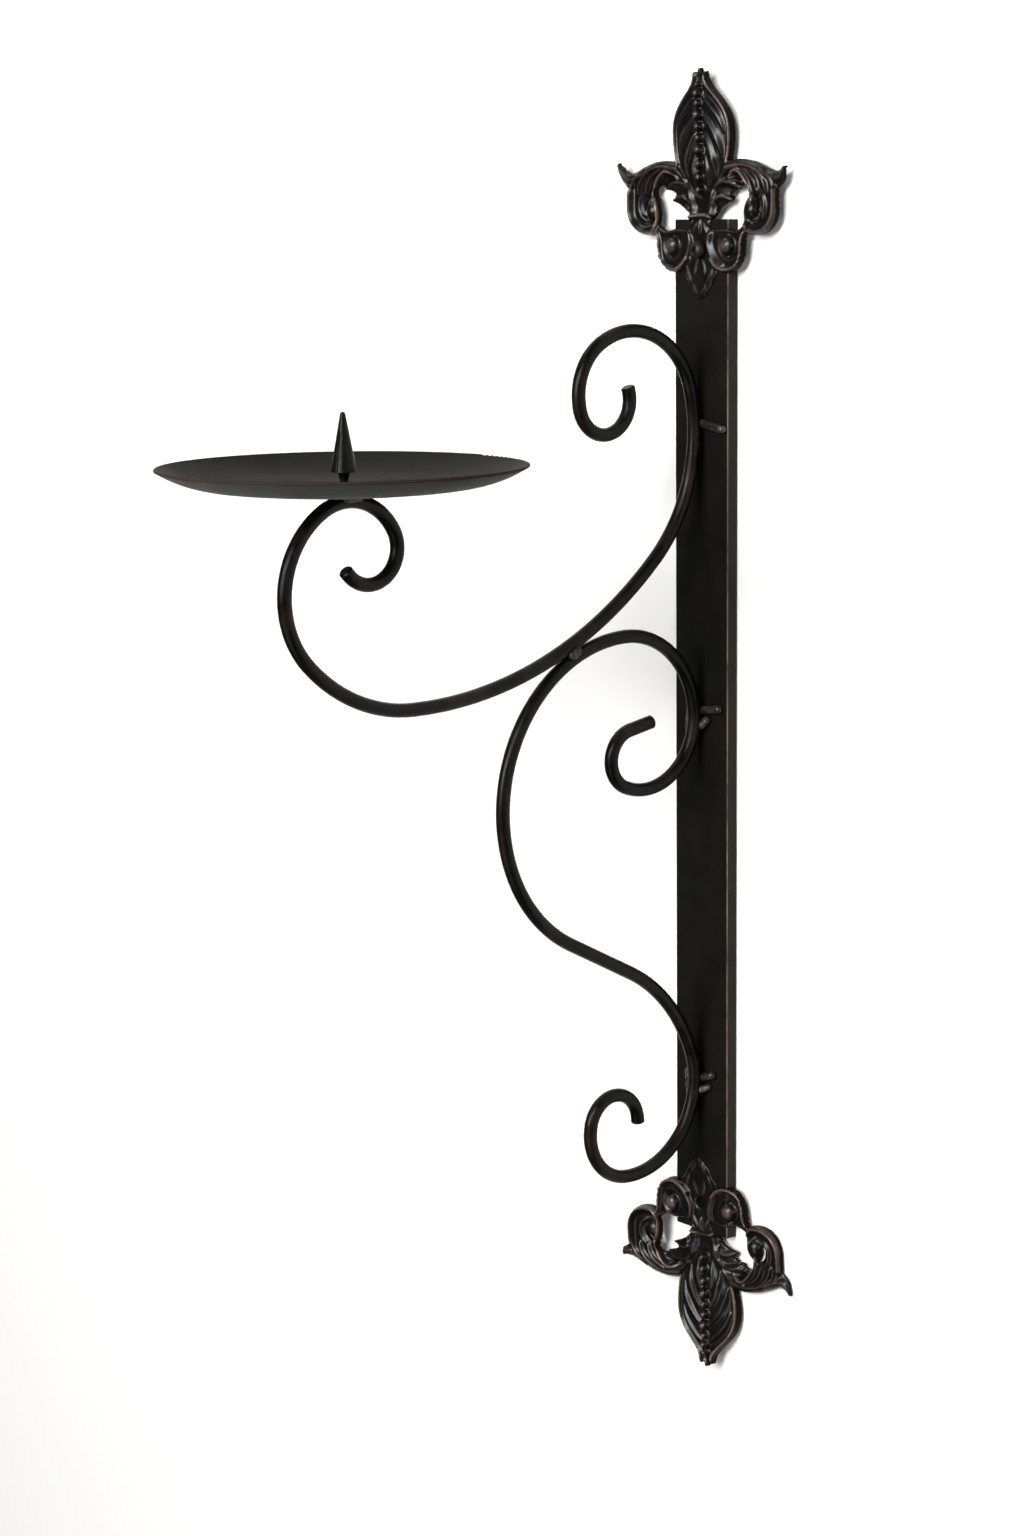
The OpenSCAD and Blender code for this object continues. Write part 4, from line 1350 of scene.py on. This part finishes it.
@dataclass
class WallScrew:
    """The cross-head screw in the upper hole.

    The head's shape is given as shares of its radius and its height, from its top down to its edge.
    """

    at_mm: tuple[float, float, float] = (0.2, -9.0, 287.4)
    head_r_mm: float = 5.2
    head_h_mm: float = 4.4
    head_shape: tuple[Point, ...] = ((0.0, 1.0), (0.45, 0.97), (0.78, 0.80), (0.95, 0.5), (1.0, 0.2),
                                     (0.98, 0.0))
    head_sides: int = 48
    shank_r_mm: float = 2.4
    shank_mm: float = 8.2
    slot_mm: float = 1.3
    slot_half_mm: float = 2.9
    slot_depth_mm: float = 2.2
    slot_taper: float = 0.55
    slot_over_mm: float = 1.0
    voxel_mm: float = 0.1
    turn_deg: float = 28.0
    nod_deg: float = 5.0

    def build(self, finish: bpy.types.Material) -> bpy.types.Object:
        """Turn the screw and cut its cross.

        Args:
            finish: its material.

        Returns:
            The screw.
        """
        bm = bmesh.new()
        profile = [(self.head_r_mm * r, self.head_h_mm * h) for r, h in self.head_shape]
        profile += [(self.shank_r_mm, 0.0), (self.shank_r_mm, -self.shank_mm), (0.0, -self.shank_mm)]
        verts = [bm.verts.new((r, 0.0, h)) for r, h in profile]
        edges = [bm.edges.new(pair) for pair in zip(verts, verts[1:])]
        bmesh.ops.spin(bm, geom=[*verts, *edges], cent=(0, 0, 0), axis=(0, 0, 1), angle=math.tau,
                       steps=self.head_sides, use_merge=True)
        bmesh.ops.remove_doubles(bm, verts=bm.verts, dist=1e-4)
        bmesh.ops.recalc_face_normals(bm, faces=bm.faces)
        head = mesh_piece("wall_screw", bm, finish)
        cutter = self.cross()
        cut = head.modifiers.new("cross", "BOOLEAN")
        cut.object = cutter
        cut.solver = "EXACT"
        apply_modifiers(head)
        bpy.data.objects.remove(cutter)
        place = (Matrix.Translation(Vector(self.at_mm) * MM) @ Matrix.Rotation(math.radians(90.0), 4, "X")
                 @ Matrix.Rotation(math.radians(-self.nod_deg), 4, "Y")
                 @ Matrix.Rotation(math.radians(self.turn_deg), 4, "Z") @ Matrix.Scale(MM, 4))
        head.data.transform(place)
        shade(head.data, smooth=False)
        return head

    def cross(self) -> bpy.types.Object:
        """Make the tapered cross that cuts the recess.

        Returns:
            The cross, in millimetres.
        """
        bm = bmesh.new()
        for long, wide in ((self.slot_half_mm, self.slot_mm / 2), (self.slot_mm / 2, self.slot_half_mm)):
            made = bmesh.ops.create_cube(bm, size=2.0)["verts"]
            for vert in made:
                top = vert.co.z > 0
                grow = 1.0 if top else self.slot_taper
                vert.co.x *= long * (grow if long > wide else 1.0)
                vert.co.y *= wide * (grow if wide > long else 1.0)
                vert.co.z = self.head_h_mm + (self.slot_over_mm if top else -self.slot_depth_mm)
        bmesh.ops.recalc_face_normals(bm, faces=bm.faces)
        mesh = bpy.data.meshes.new("cross_cutter")
        bm.to_mesh(mesh)
        bm.free()
        cutter = bpy.data.objects.new("cross_cutter", mesh)
        bpy.context.scene.collection.objects.link(cutter)
        union = cutter.modifiers.new("whole", "REMESH")
        union.mode = "VOXEL"
        union.voxel_size = self.voxel_mm
        apply_modifiers(cutter)
        return cutter


# Studio


@dataclass(frozen=True)
class Camera:
    """The photograph's viewpoint."""

    azimuth_deg: float = 50.5
    pitch_deg: float = 10.293
    roll_deg: float = -0.656
    focal_px: float = 3091.3
    across_mm: float = 118.427
    up_mm: float = 16.514
    away_mm: float = 1842.57
    clip_end: float = 50.0

    def build(self) -> None:
        """Put the camera in its place and make it the scene's own."""
        azimuth, pitch, roll = (math.radians(v) for v in (self.azimuth_deg, self.pitch_deg, self.roll_deg))
        right = Vector((math.cos(azimuth), math.sin(azimuth), 0.0))
        level = Vector((-math.sin(azimuth), math.cos(azimuth), 0.0))
        upright = Vector((0.0, 0.0, 1.0))
        forward = level * math.cos(pitch) - upright * math.sin(pitch)
        up = level * math.sin(pitch) + upright * math.cos(pitch)
        centre = -(right * self.across_mm + up * self.up_mm + forward * self.away_mm) * MM
        image_right = right * math.cos(roll) + up * math.sin(roll)
        image_up = up * math.cos(roll) - right * math.sin(roll)
        data = bpy.data.cameras.new("camera")
        data.sensor_width = SENSOR_MM
        data.lens = SENSOR_MM * self.focal_px / IMAGE_HEIGHT_PX
        data.clip_end = self.clip_end
        camera = bpy.data.objects.new("camera", data)
        turn = Matrix((image_right, image_up, -forward)).transposed().to_4x4()
        camera.matrix_world = Matrix.Translation(centre) @ turn
        bpy.context.scene.collection.objects.link(camera)
        bpy.context.scene.camera = camera


@dataclass(frozen=True)
class SoftLamp:
    """A square soft lamp aimed at a place."""

    name: str
    at: tuple[float, float, float]
    aim: tuple[float, float, float]
    size: float
    watts: float
    tint: Colour = (1.0, 1.0, 1.0)

    def build(self) -> None:
        """Hang the lamp."""
        data = bpy.data.lights.new(self.name, "AREA")
        data.shape = "SQUARE"
        data.size = self.size
        data.energy = self.watts
        data.color = self.tint
        lamp = bpy.data.objects.new(self.name, data)
        lamp.location = self.at
        lamp.rotation_euler = (Vector(self.aim) - Vector(self.at)).to_track_quat("-Z", "Y").to_euler()
        bpy.context.scene.collection.objects.link(lamp)


@dataclass
class Studio:
    """The wall that the holder hangs on, the floor far below, the lamps and the room's own light.

    The room's light has one strength as it falls on the pieces, one in their gloss and one as it is seen.
    """

    wall_y: float = 0.0006
    wall_size: float = 7.0
    floor_z: float = -1.35
    floor_size: float = 9.0
    room: float = 0.06
    room_gloss: float = 0.05
    room_seen: float = 1.0
    lamps: tuple[SoftLamp, ...] = (
        SoftLamp("key", at=(0.12, -3.5, 0.92), aim=(0.0, 0.0, 0.02), size=1.6, watts=128.0),
        SoftLamp("crisp", at=(0.95, -2.3, 1.45), aim=(0.0, 0.0, 0.02), size=0.7, watts=44.0),
        SoftLamp("top", at=(-1.1, -0.8, 2.1), aim=(0.0, -0.05, 0.05), size=0.8, watts=8.0,
                 tint=(0.93, 0.96, 1.0)),
        SoftLamp("fill", at=(0.3, -1.7, -1.1), aim=(0.0, -0.1, 0.0), size=1.0, watts=7.0),
        SoftLamp("right", at=(2.1, -0.7, 0.3), aim=(0.0, -0.1, 0.0), size=0.7, watts=5.0,
                 tint=(1.0, 0.95, 0.88)))

    def build(self) -> None:
        """Set up everything round the holder."""
        upright = Matrix.Rotation(math.radians(90), 4, "X")
        self.panel("wall", Backdrop("wall_white", see_through=True), self.wall_size,
                   Matrix.Translation((0.0, self.wall_y, 0.0)) @ upright, in_gloss=True)
        self.panel("floor", Backdrop("floor_pale"), self.floor_size,
                   Matrix.Translation((0.0, 0.0, self.floor_z)), in_gloss=False)
        for lamp in self.lamps:
            lamp.build()
        self.light_room()
        bpy.context.scene.view_settings.view_transform = "Standard"

    def light_room(self) -> None:
        """Give the room its own light."""
        world = bpy.data.worlds.new("room")
        world.use_nodes = True
        nodes, links = world.node_tree.nodes, world.node_tree.links
        glow = nodes["Background"]
        glow.inputs["Color"].default_value = (*WHITE, 1.0)
        path = nodes.new("ShaderNodeLightPath")
        in_gloss, seen = nodes.new("ShaderNodeMix"), nodes.new("ShaderNodeMix")
        in_gloss.inputs["A"].default_value = self.room
        in_gloss.inputs["B"].default_value = self.room_gloss
        seen.inputs["B"].default_value = self.room_seen
        links.new(path.outputs["Is Glossy Ray"], in_gloss.inputs["Factor"])
        links.new(in_gloss.outputs["Result"], seen.inputs["A"])
        links.new(path.outputs["Is Camera Ray"], seen.inputs["Factor"])
        links.new(seen.outputs["Result"], glow.inputs["Strength"])
        bpy.context.scene.world = world

    def panel(self, name: str, finish: Backdrop, size: float, place: Matrix, in_gloss: bool) -> None:
        """Put up one flat panel of the studio, which neither shades the pieces nor lights them.

        Args:
            name: its name.
            finish: its finish.
            size: its width and height in metres.
            place: where it stands.
            in_gloss: show it in the gloss of the pieces.
        """
        bm = bmesh.new()
        bmesh.ops.create_grid(bm, x_segments=1, y_segments=1, size=size / 2)
        bm.transform(place)
        piece = mesh_piece(name, bm, finish.build())
        piece.visible_diffuse = False
        piece.visible_shadow = False
        piece.visible_glossy = in_gloss


# The holder


@dataclass
class CandleHolder:
    """The whole holder: the model's own pieces dressed, and the pieces made here."""

    nodes: dict[str, bpy.types.Object]
    dressed: tuple[tuple[str, Slot], ...] = (
        ("back_bar", Slot.BAR), ("upper_scroll", Slot.SCROLL), ("lower_scroll", Slot.SCROLL),
        ("lily_tacks", Slot.WELD), ("drip_pan", Slot.PAN), ("spike_post", Slot.SPIKE),
        ("candle_spike", Slot.SPIKE), ("middle_welds", Slot.WELD), ("bottom_welds", Slot.WELD),
        ("scroll_welds", Slot.WELD), ("pan_welds", Slot.WELD))
    pegs: tuple[str, ...] = ("top_peg", "middle_peg", "bottom_peg")
    beads: tuple[WeldBeads, ...] = (WeldBeads("middle_welds", seed=3.0), WeldBeads("bottom_welds", seed=11.0),
                                    WeldBeads("scroll_welds", seed=23.0), WeldBeads("pan_welds", seed=31.0))
    seats: tuple[LilySeat, ...] = (
        LilySeat(End.TOP, tip_out_mm=2.9, right_corner_mm=-1.0, left_corner_mm=3.0),
        LilySeat(End.BOTTOM, lean_deg=4.5, slope=0.086, tip_out_mm=5.0, right_corner_mm=-5.0))

    def dress(self) -> dict[Slot, bpy.types.Material]:
        """Give each of the model's own pieces its finish.

        Returns:
            The finishes, by slot.
        """
        finishes = {Slot.BAR: BAR_PAINT.build(), Slot.SCROLL: SCROLL_PAINT.build(),
                    Slot.WELD: WELD_PAINT.build(), Slot.PAN: PAN_PAINT.build(),
                    Slot.SPIKE: SPIKE_PAINT.build(), Slot.LILY: LILY_BRONZE.build()}
        for name, slot in self.dressed:
            self.wear(name, finishes[slot])
        # lighter peg paint, partly a painted highlight
        rubbed = PEG_PAINT.build()
        for name in self.pegs:
            self.wear(name, rubbed)
        for end in End:
            self.wear(end.value, finishes[Slot.LILY])
        return finishes

    def wear(self, name: str, finish: bpy.types.Material) -> None:
        """Put a finish on one of the model's pieces.

        Args:
            name: the piece's node.
            finish: the finish.
        """
        for place in self.nodes[name].material_slots:
            place.material = finish
        LOG.info("%s wears %s", name, finish.name)

    def build(self) -> None:
        """Dress the model's pieces and add the ones made here."""
        finishes = self.dress()
        sheet = LilyPattern().press()
        for seat in self.seats:
            self.add(seat.build(sheet, finishes[Slot.LILY]), Slot.LILY)
        for bead in self.beads:
            self.add(bead.build(self.nodes[bead.node], finishes[Slot.WELD]), Slot.WELD)
        self.add(WallScrew().build(SCREW_STEEL.build()), Slot.SPIKE)

    def add(self, piece: bpy.types.Object, slot: Slot) -> None:
        """Fix a piece to the holder and report it.

        Args:
            piece: the piece.
            slot: the slot that its finish belongs to; not used.
        """
        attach(piece, "root")
        LOG.info("%s: %d faces", piece.name, len(piece.data.polygons))


def main() -> None:
    """Load the model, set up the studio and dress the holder."""
    logging.basicConfig(level=logging.INFO, format="%(message)s")
    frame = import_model()
    Camera().build()
    Studio().build()
    CandleHolder(frame["nodes"]).build()


if __name__ == "__main__":
    main()
